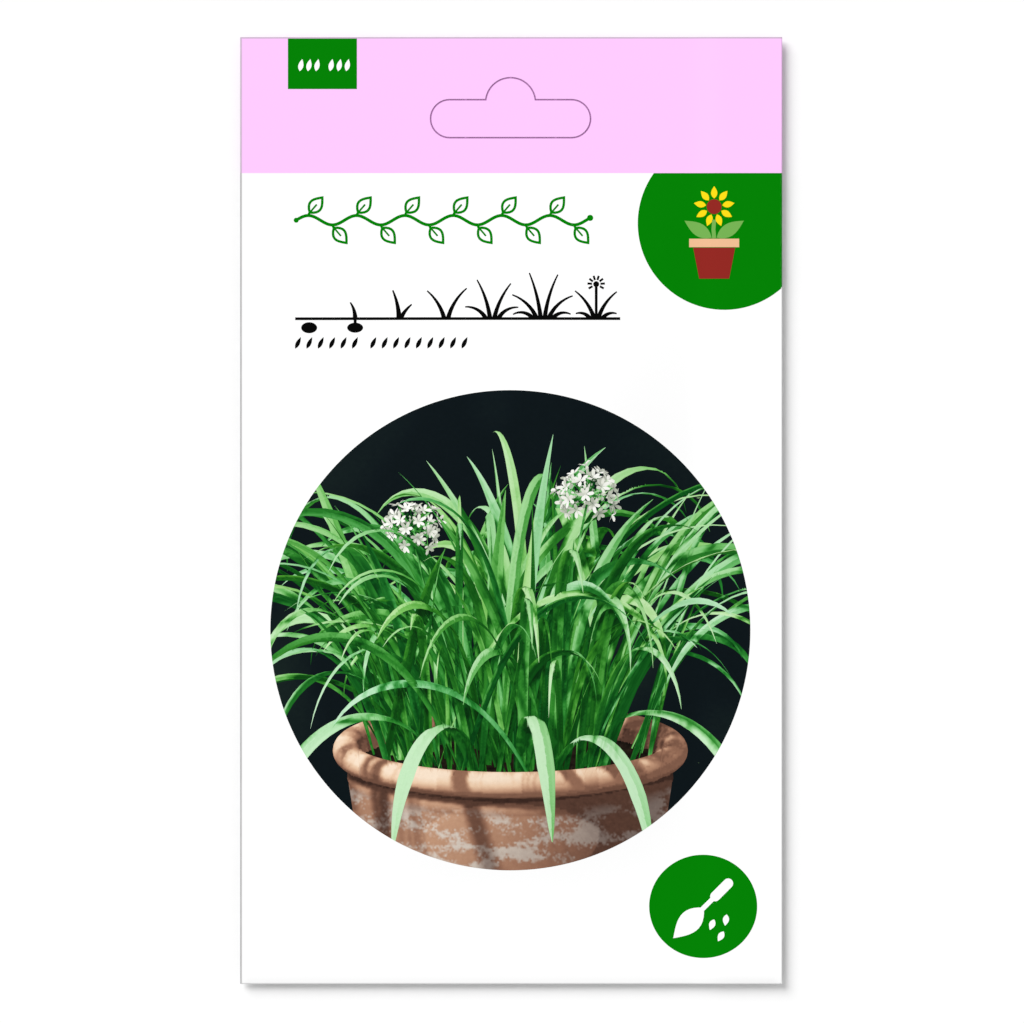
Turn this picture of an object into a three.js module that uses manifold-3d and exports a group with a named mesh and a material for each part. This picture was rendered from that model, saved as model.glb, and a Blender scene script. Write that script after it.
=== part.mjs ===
// A flat seed packet with a hang slot: one printed paper sheet folded into a packet, the glue lines that
// hold it shut, and inside it a two-web sachet with the seeds. It lies on its back, its printed front up.
// Millimetres. X runs across the packet, +Y to its header, +Z up out of its front. The origin is on the
// surface that the packet lies on, under the middle of the sheet.
import * as THREE from "three";
import { mergeVertices } from "three/addons/utils/BufferGeometryUtils.js";
import Module from "manifold-3d";

const wasm = await Module();
wasm.setup();

// Driving dimensions of the folded packet
const WIDTH = 108.4;
const HEIGHT = 189.4;
const HEADER_HEIGHT = 27;
const PAPER = 0.16;
const GLUE = 0.08;
const PLY = PAPER + GLUE; // from the middle of one paper layer to the middle of the next
const TAB_WIDTH = 12;
const FLAP_HEIGHT = 16;
const FLAP_TAPER = 0.06; // share of its width that the flap loses from its fold to its free edge
const FREE_EDGE_SETBACK = 0.7;
const MARGIN_LIFT = 1.2; // how far the stiff glued margins stand above the surface
const FRONT_BULGE = 2.4;

// The hang slot: a long bar with round ends, and a round bump in the middle of its top
const SLOT_LENGTH = 32;
const SLOT_BAR_HEIGHT = 7.6;
const SLOT_BUMP_RADIUS = 5;
const SLOT_BUMP_ABOVE_BAR = 3.2; // the bump's centre above the bar's centre line
const SLOT_CENTRE = { x: -0.1, y: 78.4 };
const KERF = 0.26;
const NICK = 0.4;

// The inner sachet and the seeds
const SACHET = { halfWidth: 36, bottom: -64, top: 27 }; // each on one of the shared grid lines
const FILM = 0.1;
const SEAL_GAP = 0.02;
const SACHET_CLEARANCE = 0.03;
const SACHET_BULGE = 3.0;
const SEED_LENGTH = 3.5;
const SEED_WIDTH = 2.6;
const SEED_THICKNESS = 1.25;
const SEED_PITCH = 2.95;
const HEAP = { x: 0, y: -27, halfWidth: 14, halfHeight: 18.5 };
const HEAP_CORE = 0.45;

const RIGHT = WIDTH / 2;
const TOP = HEIGHT / 2;
const HEADER_LINE = TOP - HEADER_HEIGHT;
const FOLD_RADIUS = PLY / 2; // of the side folds, at the middle of the paper
const FOLD_X = RIGHT - FOLD_RADIUS - PAPER / 2;
const FOLD_Y = -TOP + PLY + PAPER / 2;
const TAB_EDGE = RIGHT - TAB_WIDTH;

// Grid lines shared by every layer, so that layers lying on each other have matching facets
const GRID_X = [-42, -36, -30, -24, -18, -12, -6, 0, 6, 12, 18, 24, 30, 36, 42];
const GRID_Y = [-78, -71, -64, -57, -50, -43, -36, -29, -22, -15, -8, -1, 6, 13, 20, 27, 34, 41, 49, 57, 66];

// A smooth step from 0 to 1
function eased(share) {
  const s = Math.min(1, Math.max(0, share));
  return s * s * (3 - 2 * s);
}

// How far the back panel has come down from its margins to the surface: 0 at the margins, 1 where it rests
function backSag(x, y) {
  return eased((42 - Math.abs(x)) / 20) * eased((y + 78) / 24) * eased((66 - y) / 34);
}

// How far the front panel has risen over the filling: 0 at the margins, 1 at the crown
function frontCrown(x, y) {
  return eased((43 - Math.abs(x)) / 34) * eased((y + 79) / 40) * eased((66.5 - y) / 60);
}

// The front panel steps up over the side seam's tab
function tabRise(x) {
  return eased((x - (TAB_EDGE - 6.2)) / 6.2);
}

// Heights of the middle of each paper layer
const backLevel = (x, y) => PAPER / 2 + MARGIN_LIFT * (1 - backSag(x, y));
const frontLevel = (x, y) =>
  PAPER / 2 + MARGIN_LIFT + PLY * (1 + tabRise(x)) + FRONT_BULGE * frontCrown(x, y);
const tabLevel = PAPER / 2 + MARGIN_LIFT + PLY;
const flapLevel = PAPER / 2 + MARGIN_LIFT - PLY;

// Collects quads as triangles, and closes them into one mesh
class Skin {
  constructor() {
    this.corners = [];
  }

  quad(a, b, c, d) {
    for (const p of [a, b, c, a, c, d]) this.corners.push(p[0], p[1], p[2]);
  }

  geometry() {
    const soup = new THREE.BufferGeometry();
    soup.setAttribute("position", new THREE.Float32BufferAttribute(this.corners, 3));
    return mergeVertices(soup, 1e-3);
  }
}

// The two faces of a thick sheet, between rows of points: outer[i][j] and inner[i][j]
function addFaces(skin, outer, inner) {
  for (let i = 0; i + 1 < outer.length; i++) {
    for (let j = 0; j + 1 < outer[i].length; j++) {
      skin.quad(outer[i][j], outer[i + 1][j], outer[i + 1][j + 1], outer[i][j + 1]);
      skin.quad(inner[i][j], inner[i][j + 1], inner[i + 1][j + 1], inner[i + 1][j]);
    }
  }
}

// The cut edges along a sheet's first and last column
function addSideRims(skin, outer, inner) {
  const last = outer[0].length - 1;
  for (let i = 0; i + 1 < outer.length; i++) {
    skin.quad(outer[i + 1][0], outer[i][0], inner[i][0], inner[i + 1][0]);
    skin.quad(outer[i][last], outer[i + 1][last], inner[i + 1][last], inner[i][last]);
  }
}

// The cut edge along a sheet's first row, from column first to column last
function addStartRim(skin, outer, inner, first, last) {
  for (let j = first; j < last; j++) {
    skin.quad(outer[0][j], outer[0][j + 1], inner[0][j + 1], inner[0][j]);
  }
}

function addEndRim(skin, outer, inner) {
  const m = outer.length - 1;
  for (let j = 0; j + 1 < outer[m].length; j++) {
    skin.quad(outer[m][j + 1], outer[m][j], inner[m][j], inner[m][j + 1]);
  }
}

// Points of a half turn between two layers, each with the direction that points out of the fold
function foldTurn(steps) {
  return Array.from({ length: steps - 1 }, (_, k) => (Math.PI * (k + 1)) / steps);
}

// One section across the folded sheet at a height y: from the tab's free edge round the right fold,
// over the front, round the left fold and along the back panel to its free edge
function packetSection(y) {
  const section = [];
  const flat = (x, z, up) => section.push({ x, z, outX: 0, outZ: up });
  const rightFront = frontLevel(RIGHT, y);
  const leftFront = frontLevel(-RIGHT, y);
  const leftBack = backLevel(-RIGHT, y);
  for (const x of [TAB_EDGE, RIGHT - 2.2]) flat(x, tabLevel, -1);
  flat(FOLD_X, tabLevel, -1);
  const rightMiddle = (tabLevel + rightFront) / 2;
  for (const a of foldTurn(4)) {
    const outX = Math.sin(a);
    const outZ = -Math.cos(a);
    section.push({ x: FOLD_X + FOLD_RADIUS * outX, z: rightMiddle + FOLD_RADIUS * outZ, outX, outZ });
  }
  const across = [-FOLD_X, -(RIGHT - 2.2), -48, ...GRID_X, 48, RIGHT - 2.2, FOLD_X];
  for (const x of [...across].reverse()) flat(x, frontLevel(x, y), 1);
  const leftMiddle = (leftBack + leftFront) / 2;
  for (const a of foldTurn(4)) {
    const outX = -Math.sin(a);
    const outZ = Math.cos(a);
    section.push({ x: -FOLD_X + FOLD_RADIUS * outX, z: leftMiddle + FOLD_RADIUS * outZ, outX, outZ });
  }
  const freeEdge = RIGHT - FREE_EDGE_SETBACK;
  for (const x of [...across.slice(0, -2), freeEdge]) flat(x, backLevel(x, y), -1);
  return section;
}

// Moves a section's point to one face of the paper: side is 1 for the printed face and -1 for the bare one
const toFace = (p, y, side) => [
  p.x + (side * p.outX * PAPER) / 2,
  y,
  p.z + (side * p.outZ * PAPER) / 2,
];

// The bottom flap goes on from the front panel's foot, round the bottom fold and up behind the back panel
function flapRows(section, first, last) {
  const path = [];
  for (const a of foldTurn(4)) path.push({ angle: a, run: 0 });
  path.push({ angle: Math.PI, run: 0 });
  path.push({ angle: Math.PI, run: FLAP_HEIGHT - (FOLD_Y + TOP) });
  const rows = { outer: [], inner: [] };
  const faces = [
    [rows.outer, 1],
    [rows.inner, -1],
  ];
  for (const [list, side] of faces) {
    list.push(section.slice(first, last + 1).map((p) => toFace(p, FOLD_Y, side)));
    for (const { angle, run } of path) {
      const row = section.slice(first, last + 1).map((p) => {
        const half = (p.z - flapLevel) / 2;
        const y = FOLD_Y - (PLY + (side * PAPER) / 2) * Math.sin(angle) + run;
        const z = flapLevel + half + (half + (side * PAPER) / 2) * Math.cos(angle);
        const narrowing = 1 - (FLAP_TAPER * run) / FLAP_HEIGHT;
        return [p.x * narrowing, y, z];
      });
      list.push(row);
    }
  }
  return rows;
}

// A closed mesh as a manifold solid
function toSolid(geometry) {
  const bare = geometry.clone();
  bare.deleteAttribute("normal");
  bare.deleteAttribute("uv");
  const merged = mergeVertices(bare, 1e-4);
  return new wasm.Manifold(
    new wasm.Mesh({
      numProp: 3,
      vertProperties: new Float32Array(merged.attributes.position.array),
      triVerts: new Uint32Array(merged.index.array),
    }),
  );
}

function toGeometry(solid) {
  const mesh = solid.getMesh();
  const geometry = new THREE.BufferGeometry();
  const places = new Float32Array(mesh.numVert * 3);
  for (let i = 0; i < mesh.numVert; i++) {
    places.set(mesh.vertProperties.subarray(i * mesh.numProp, i * mesh.numProp + 3), i * 3);
  }
  geometry.setAttribute("position", new THREE.BufferAttribute(places, 3));
  geometry.setIndex(new THREE.BufferAttribute(new Uint32Array(mesh.triVerts), 1));
  return geometry;
}

// A box from its lowest to its highest corner
function box(low, high) {
  const size = high.map((h, k) => h - low[k]);
  const geometry = new THREE.BoxGeometry(...size);
  geometry.translate(...high.map((h, k) => (h + low[k]) / 2));
  return geometry;
}

// The hang slot's outline, grown all round by a distance
function slotOutline(grown) {
  const end = SLOT_BAR_HEIGHT / 2 + grown;
  const endX = SLOT_LENGTH / 2 - SLOT_BAR_HEIGHT / 2;
  const bump = SLOT_BUMP_RADIUS + grown;
  const meets = Math.asin((end - SLOT_BUMP_ABOVE_BAR) / bump);
  const shape = new THREE.Shape();
  shape.absarc(endX, 0, end, -Math.PI / 2, Math.PI / 2, false);
  shape.absarc(0, SLOT_BUMP_ABOVE_BAR, bump, meets, Math.PI - meets, false);
  shape.absarc(-endX, 0, end, Math.PI / 2, (3 * Math.PI) / 2, false);
  shape.closePath();
  return shape;
}

// The knife's cut round the hang slot, broken by the nicks that still hold the waste in place
function kerfSolid() {
  const ring = slotOutline(KERF / 2);
  ring.holes.push(new THREE.Path(slotOutline(-KERF / 2).getPoints(7)));
  const cut = new THREE.ExtrudeGeometry(ring, { depth: 3, bevelEnabled: false, curveSegments: 7 });
  let kerf = toSolid(cut);
  const barTop = SLOT_BAR_HEIGHT / 2;
  const nicks = [
    [0, SLOT_BUMP_ABOVE_BAR + SLOT_BUMP_RADIUS],
    [-9, barTop],
    [9, barTop],
    [-9, -barTop],
    [9, -barTop],
  ];
  for (const [x, y] of nicks) {
    kerf = kerf.subtract(toSolid(box([x - NICK / 2, y - 1, -1], [x + NICK / 2, y + 1, 4])));
  }
  return kerf.translate([SLOT_CENTRE.x, SLOT_CENTRE.y, MARGIN_LIFT - 1]);
}

// The printed sheet, folded, with the bottom flap and the die-cut hang slot
function packetSheet() {
  const skin = new Skin();
  const stations = [FOLD_Y, ...GRID_Y, HEADER_LINE, TOP];
  const outer = stations.map((y) => packetSection(y).map((p) => toFace(p, y, 1)));
  const inner = stations.map((y) => packetSection(y).map((p) => toFace(p, y, -1)));
  addFaces(skin, outer, inner);
  addSideRims(skin, outer, inner);
  addEndRim(skin, outer, inner);
  const foot = packetSection(FOLD_Y);
  const isFront = (p) => p.outZ === 1;
  const first = foot.findIndex((p) => isFront(p) && p.x < FOLD_X - 1);
  const last = foot.findLastIndex((p) => isFront(p) && p.x > -FOLD_X + 1);
  addStartRim(skin, outer, inner, 0, first);
  addStartRim(skin, outer, inner, last, foot.length - 1);
  const flap = flapRows(foot, first, last);
  for (const list of [flap.outer, flap.inner]) list.reverse();
  addFaces(skin, flap.outer, flap.inner);
  addSideRims(skin, flap.outer, flap.inner);
  addStartRim(skin, flap.outer, flap.inner, 0, last - first);
  return toGeometry(toSolid(skin.geometry()).subtract(kerfSolid()));
}

// The glue between the back panel and the side seam's tab
function sideSeamGlue() {
  return box(
    [TAB_EDGE + 1.5, -TOP + 3, MARGIN_LIFT + PAPER],
    [RIGHT - 2.2, TOP - 1, MARGIN_LIFT + PLY],
  );
}

// The glue that closes the header: a frame round the hang slot
function headerGlue() {
  const low = MARGIN_LIFT + PAPER;
  const frame = new THREE.Shape();
  const left = -RIGHT + 2.2;
  const right = 35.5;
  frame.moveTo(left, HEADER_LINE + 1);
  frame.lineTo(right, HEADER_LINE + 1);
  frame.lineTo(right, TOP - 1);
  frame.lineTo(left, TOP - 1);
  frame.closePath();
  const window = new THREE.Path();
  const halfX = SLOT_LENGTH / 2 + 3;
  const below = SLOT_CENTRE.y - SLOT_BAR_HEIGHT / 2 - 2.5;
  const above = SLOT_CENTRE.y + SLOT_BUMP_ABOVE_BAR + SLOT_BUMP_RADIUS + 2.5;
  window.moveTo(SLOT_CENTRE.x - halfX, below);
  window.lineTo(SLOT_CENTRE.x - halfX, above);
  window.lineTo(SLOT_CENTRE.x + halfX, above);
  window.lineTo(SLOT_CENTRE.x + halfX, below);
  window.closePath();
  frame.holes.push(window);
  const geometry = new THREE.ExtrudeGeometry(frame, { depth: GLUE, bevelEnabled: false });
  geometry.translate(0, 0, low);
  return geometry;
}

// The glue between the bottom flap and the back panel
function bottomFlapGlue() {
  const halfWidth = RIGHT - 8;
  const low = flapLevel + PAPER / 2;
  return box([-halfWidth, -TOP + 4, low], [halfWidth, -TOP + FLAP_HEIGHT - 1.5, low + GLUE]);
}

// A flat-lying web of the sachet between two height functions, on the shared grid lines. It is wound like
// the back panel, so that its facets match the ones that it lies on.
function web(bottomAt, topAt) {
  const xs = GRID_X.filter((x) => Math.abs(x) <= SACHET.halfWidth);
  const ys = GRID_Y.filter((y) => y >= SACHET.bottom && y <= SACHET.top);
  const under = ys.map((y) => xs.map((x) => [x, y, bottomAt(x, y)]));
  const over = ys.map((y) => xs.map((x) => [x, y, topAt(x, y)]));
  const skin = new Skin();
  addFaces(skin, under, over);
  addSideRims(skin, under, over);
  addStartRim(skin, under, over, 0, xs.length - 1);
  addEndRim(skin, under, over);
  return skin.geometry();
}

const sachetFoot = (x, y) => backLevel(x, y) + PAPER / 2 + SACHET_CLEARANCE;

// How far the sachet's front web stands off its back web: 0 in the seals, 1 over the seeds
function sachetCrown(x, y) {
  return eased((30 - Math.abs(x)) / 22) * eased((y + 58) / 24) * eased((20 - y) / 36);
}

function sachetBackFilm() {
  return web(sachetFoot, (x, y) => sachetFoot(x, y) + FILM);
}

function sachetFrontFilm() {
  const under = (x, y) => sachetFoot(x, y) + FILM + SEAL_GAP + SACHET_BULGE * sachetCrown(x, y);
  return web(under, (x, y) => under(x, y) + FILM);
}

// A repeatable draw of numbers from 0 to 1
function seededDraw(seed) {
  let state = seed;
  return () => {
    state = (state * 1664525 + 1013904223) % 4294967296;
    return state / 4294967296;
  };
}

// One flattened, angular seed: a rounded side, a flatter side, and a low ridge on both faces
function seedGeometry() {
  const outline = [
    [0.5, 0.02],
    [0.26, 0.46],
    [-0.2, 0.5],
    [-0.5, 0.08],
    [-0.28, -0.4],
    [0.24, -0.36],
  ];
  const ring = outline.map(([u, v]) => [u * SEED_LENGTH, v * SEED_WIDTH, 0]);
  const above = [0.02 * SEED_LENGTH, 0.04 * SEED_WIDTH, SEED_THICKNESS / 2];
  const below = [-0.04 * SEED_LENGTH, 0, -SEED_THICKNESS / 2];
  const corners = [];
  ring.forEach((p, k) => {
    const next = ring[(k + 1) % ring.length];
    corners.push(...p, ...next, ...above, ...next, ...p, ...below);
  });
  const soup = new THREE.BufferGeometry();
  soup.setAttribute("position", new THREE.Float32BufferAttribute(corners, 3));
  return soup;
}

// The seeds in a single loose layer, each turned and tipped its own way, joined by a thin core below
function seeds() {
  const draw = seededDraw(17);
  const foot = PAPER + 2 * SACHET_CLEARANCE + FILM;
  const core = new THREE.CylinderGeometry(1, 1, HEAP_CORE, 28);
  core.rotateX(Math.PI / 2);
  core.scale(HEAP.halfWidth, HEAP.halfHeight, 1);
  core.translate(HEAP.x, HEAP.y, foot + HEAP_CORE / 2);
  const solids = [toSolid(core)];
  const rowPitch = (SEED_PITCH * Math.sqrt(3)) / 2;
  const rows = Math.ceil(HEAP.halfHeight / rowPitch);
  const seed = seedGeometry();
  for (let row = -rows; row <= rows; row++) {
    const shift = row % 2 ? SEED_PITCH / 2 : 0;
    for (let column = -6; column <= 6; column++) {
      const x = column * SEED_PITCH + shift + (draw() - 0.5) * 0.5;
      const y = row * rowPitch + (draw() - 0.5) * 0.5;
      const turn = draw() * Math.PI * 2;
      const tip = (draw() - 0.5) * 0.5;
      const reach = Math.hypot(x / HEAP.halfWidth, y / HEAP.halfHeight);
      if (reach > 0.97) continue;
      const placed = seed.clone();
      placed.rotateX(tip);
      placed.rotateZ(turn);
      placed.translate(HEAP.x + x, HEAP.y + y, foot + HEAP_CORE + SEED_THICKNESS * 0.28);
      solids.push(toSolid(placed));
    }
  }
  return toGeometry(wasm.Manifold.union(solids));
}

function piece(name, geometry, colour, roughness) {
  const material = new THREE.MeshStandardMaterial({ color: colour, roughness, metalness: 0 });
  const mesh = new THREE.Mesh(geometry, material);
  mesh.name = name;
  return mesh;
}

const packet = new THREE.Group();
packet.add(piece("packet_sheet", packetSheet(), "#fbfbf8", 0.45));
packet.add(piece("side_seam_glue", sideSeamGlue(), "#f3efdf", 0.6));
packet.add(piece("header_glue", headerGlue(), "#f3efdf", 0.6));
packet.add(piece("bottom_flap_glue", bottomFlapGlue(), "#f3efdf", 0.6));
packet.add(piece("sachet_back_film", sachetBackFilm(), "#c9cbcd", 0.3));
packet.add(piece("sachet_front_film", sachetFrontFilm(), "#c9cbcd", 0.3));
packet.add(piece("seeds", seeds(), "#17161a", 0.7));

export default packet;
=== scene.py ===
"""A flat paper seed packet with a hang slot, lying face up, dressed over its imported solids.

The folded sheet is built anew at a finer pitch and takes the place of its solid. The printing lies on it as
thin films of ink. The sachet, the seeds and the glue lines keep their solids and get their finishes.
Sizes are in millimetres in the packet's own frame, and meshes are written in metres.
"""

import logging
import math
import random
from collections.abc import Callable, Iterator, Sequence
from contextlib import contextmanager
from dataclasses import dataclass, field
from enum import Enum

import bmesh
import bpy
import numpy as np
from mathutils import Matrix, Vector, noise
from mathutils.bvhtree import BVHTree
from mathutils.geometry import delaunay_2d_cdt


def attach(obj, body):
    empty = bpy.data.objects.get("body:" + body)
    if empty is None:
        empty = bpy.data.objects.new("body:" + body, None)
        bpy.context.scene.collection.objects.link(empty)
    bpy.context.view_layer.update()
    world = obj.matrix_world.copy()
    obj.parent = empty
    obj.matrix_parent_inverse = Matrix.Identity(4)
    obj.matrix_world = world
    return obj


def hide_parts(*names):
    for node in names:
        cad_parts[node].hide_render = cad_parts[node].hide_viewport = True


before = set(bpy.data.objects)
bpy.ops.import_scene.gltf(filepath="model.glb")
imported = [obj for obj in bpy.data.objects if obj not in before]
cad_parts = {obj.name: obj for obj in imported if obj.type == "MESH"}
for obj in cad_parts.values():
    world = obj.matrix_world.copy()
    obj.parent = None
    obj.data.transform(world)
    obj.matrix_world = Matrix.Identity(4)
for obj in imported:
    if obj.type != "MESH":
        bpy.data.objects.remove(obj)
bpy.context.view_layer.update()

LOG = logging.getLogger("seed_packet")
MM = 0.001
Point = tuple[float, float]
Colour = tuple[float, float, float]
Level = Callable[[float, float], float]
Piece = bpy.types.Object
Material = bpy.types.Material
INK_RISE = 0.014
INK_SINK = 0.03
CREASE_ANGLE = math.radians(32)
GOLDEN_ANGLE = 2.39996


def eased(share: float) -> float:
    """A smooth step from 0 to 1."""
    s = min(1.0, max(0.0, share))
    return s * s * (3 - 2 * s)


def around(x: float, y: float, radius: float, angle: float) -> Point:
    """The point of a circle at that angle, in radians."""
    return (x + radius * math.cos(angle), y + radius * math.sin(angle))


def cross(first: np.ndarray, second: np.ndarray) -> np.ndarray:
    """The cross products of two columns of flat vectors."""
    return first[:, 0] * second[:, 1] - first[:, 1] * second[:, 0]


def printed(red: float, green: float, blue: float) -> Colour:
    """The linear colour of a printed tone.

    Args:
        red: Red from 0 to 255, as an image shows it.
        green: Green.
        blue: Blue.

    Returns:
        The linear red, green and blue that paper with that print throws back.
    """
    tones = []
    for value in (red, green, blue):
        c = value / 255
        tones.append(0.9 * (c / 12.92 if c <= 0.04045 else ((c + 0.055) / 1.055) ** 2.4))
    return (tones[0], tones[1], tones[2])


@dataclass(frozen=True)
class Packet:
    """The folded packet's sizes, and the height of each of its layers."""

    width: float = 108.4
    height: float = 189.4
    header: float = 27.18
    paper: float = 0.16
    glue: float = 0.08
    tab: float = 12.0
    flap: float = 16.0
    flap_taper: float = 0.06
    setback: float = 0.7
    lift: float = 1.2
    bulge: float = 2.36

    @property
    def right(self) -> float:
        """The right edge."""
        return self.width / 2

    @property
    def top(self) -> float:
        """The top edge."""
        return self.height / 2

    @property
    def header_line(self) -> float:
        """Where the coloured header ends."""
        return self.top - self.header

    @property
    def ply(self) -> float:
        """From the middle of one paper layer to the middle of the next."""
        return self.paper + self.glue

    @property
    def fold_x(self) -> float:
        """The side folds' axis."""
        return self.right - self.ply / 2 - self.paper / 2

    @property
    def fold_y(self) -> float:
        """The bottom fold's axis."""
        return -self.top + self.ply + self.paper / 2

    @property
    def tab_level(self) -> float:
        """The middle of the side seam's tab."""
        return self.paper / 2 + self.lift + self.ply

    @property
    def flap_level(self) -> float:
        """The middle of the bottom flap."""
        return self.paper / 2 + self.lift - self.ply

    def crown(self, x: float, y: float) -> float:
        """How far the front has risen over the filling: 0 at the margins, 1 at the crown."""
        across = eased((43 - abs(x)) / 34)
        return across * eased((y + 79) / 40) * eased((66.5 - y) / 60)

    def ripple(self, x: float, y: float) -> float:
        """The faint unevenness that the filling gives the front.

        Args:
            x: How far across.
            y: How far up.

        Returns:
            Its height.
        """
        slow = noise.noise(Vector((x / 21, y / 26, 3.0)))
        quick = noise.noise(Vector((x / 6.5, y / 6.5, 8.0)))
        heap = math.exp(-((x / 19) ** 2) - (((y + 27) / 24) ** 2))
        return (0.045 * slow + 0.018 * quick * heap) * self.crown(x, y)

    def front(self, x: float, y: float) -> float:
        """The middle of the front panel, which rises over the tab."""
        level = self.paper / 2 + self.lift + self.ply * (1 + eased((x - (self.right - self.tab - 6.2)) / 6.2))
        return level + self.bulge * self.crown(x, y) + self.ripple(x, y)

    def back(self, x: float, y: float) -> float:
        """The middle of the back panel."""
        sag = eased((42 - abs(x)) / 20) * eased((y + 78) / 24) * eased((66 - y) / 34)
        return self.paper / 2 + self.lift * (1 - sag)


@dataclass(frozen=True)
class HangSlot:
    """The die-cut hang slot: a bar with round ends, and a bump in the middle of its top."""

    x: float = -0.1
    y: float = 78.4
    length: float = 32.0
    bar: float = 7.6
    bump: float = 5.0
    bump_above: float = 3.2
    groove: float = 0.34
    kerf: float = 0.07
    nick: float = 0.4
    nick_x: float = 9.0

    @property
    def half(self) -> float:
        """Half the bar's height."""
        return self.bar / 2

    @property
    def end(self) -> float:
        """How far across the middle of the bar's right round end is."""
        return self.length / 2 - self.half

    @property
    def meets(self) -> float:
        """The angle, in radians, at which the bump meets the bar."""
        return math.asin((self.half - self.bump_above) / self.bump)

    def at(self, x: float, y: float) -> Point:
        """A place given from the slot's middle."""
        return (self.x + x, self.y + y)

    def arc(self, x: float, y: float, radius: float, start: float, end: float, steps: int) -> list[Point]:
        """Points along an arc of the outline, both ends included."""
        angles = [start + (end - start) * k / steps for k in range(steps + 1)]
        return [around(*self.at(x, y), radius, a) for a in angles]

    def over(self, start: float, end: float, steps: int) -> list[Point]:
        """Points along the bump, from one angle to another."""
        return self.arc(0, self.bump_above, self.bump, start, end, steps)

    def ends(self) -> list[list[Point]]:
        """The bar's right and left round ends, anticlockwise."""
        starts = ((self.end, -math.pi / 2), (-self.end, math.pi / 2))
        return [self.arc(x, 0, self.half, start, start + math.pi, 20) for x, start in starts]

    def outline(self) -> list[Point]:
        """The whole outline, anticlockwise from the bar's lower right."""
        right, left = self.ends()
        return right + self.over(self.meets, math.pi - self.meets, 26) + left

    def runs(self) -> list[list[Point]]:
        """The knife's full-depth runs along the outline, each ending short of a nick that holds the waste.

        Returns:
            The points of each run.
        """
        half, gap = self.half, self.nick / 2
        near, far = self.nick_x - gap, self.nick_x + gap
        top, up = math.pi / 2, gap / self.bump
        right, left = self.ends()
        return [
            [self.at(far, -half), *right, self.at(far, half)],
            [self.at(near, half), *self.over(self.meets, top - up, 12)],
            [*self.over(top + up, math.pi - self.meets, 12), self.at(-near, half)],
            [self.at(-far, half), *left, self.at(-far, -half)],
            [self.at(-near, -half), self.at(near, -half)],
        ]


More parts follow.
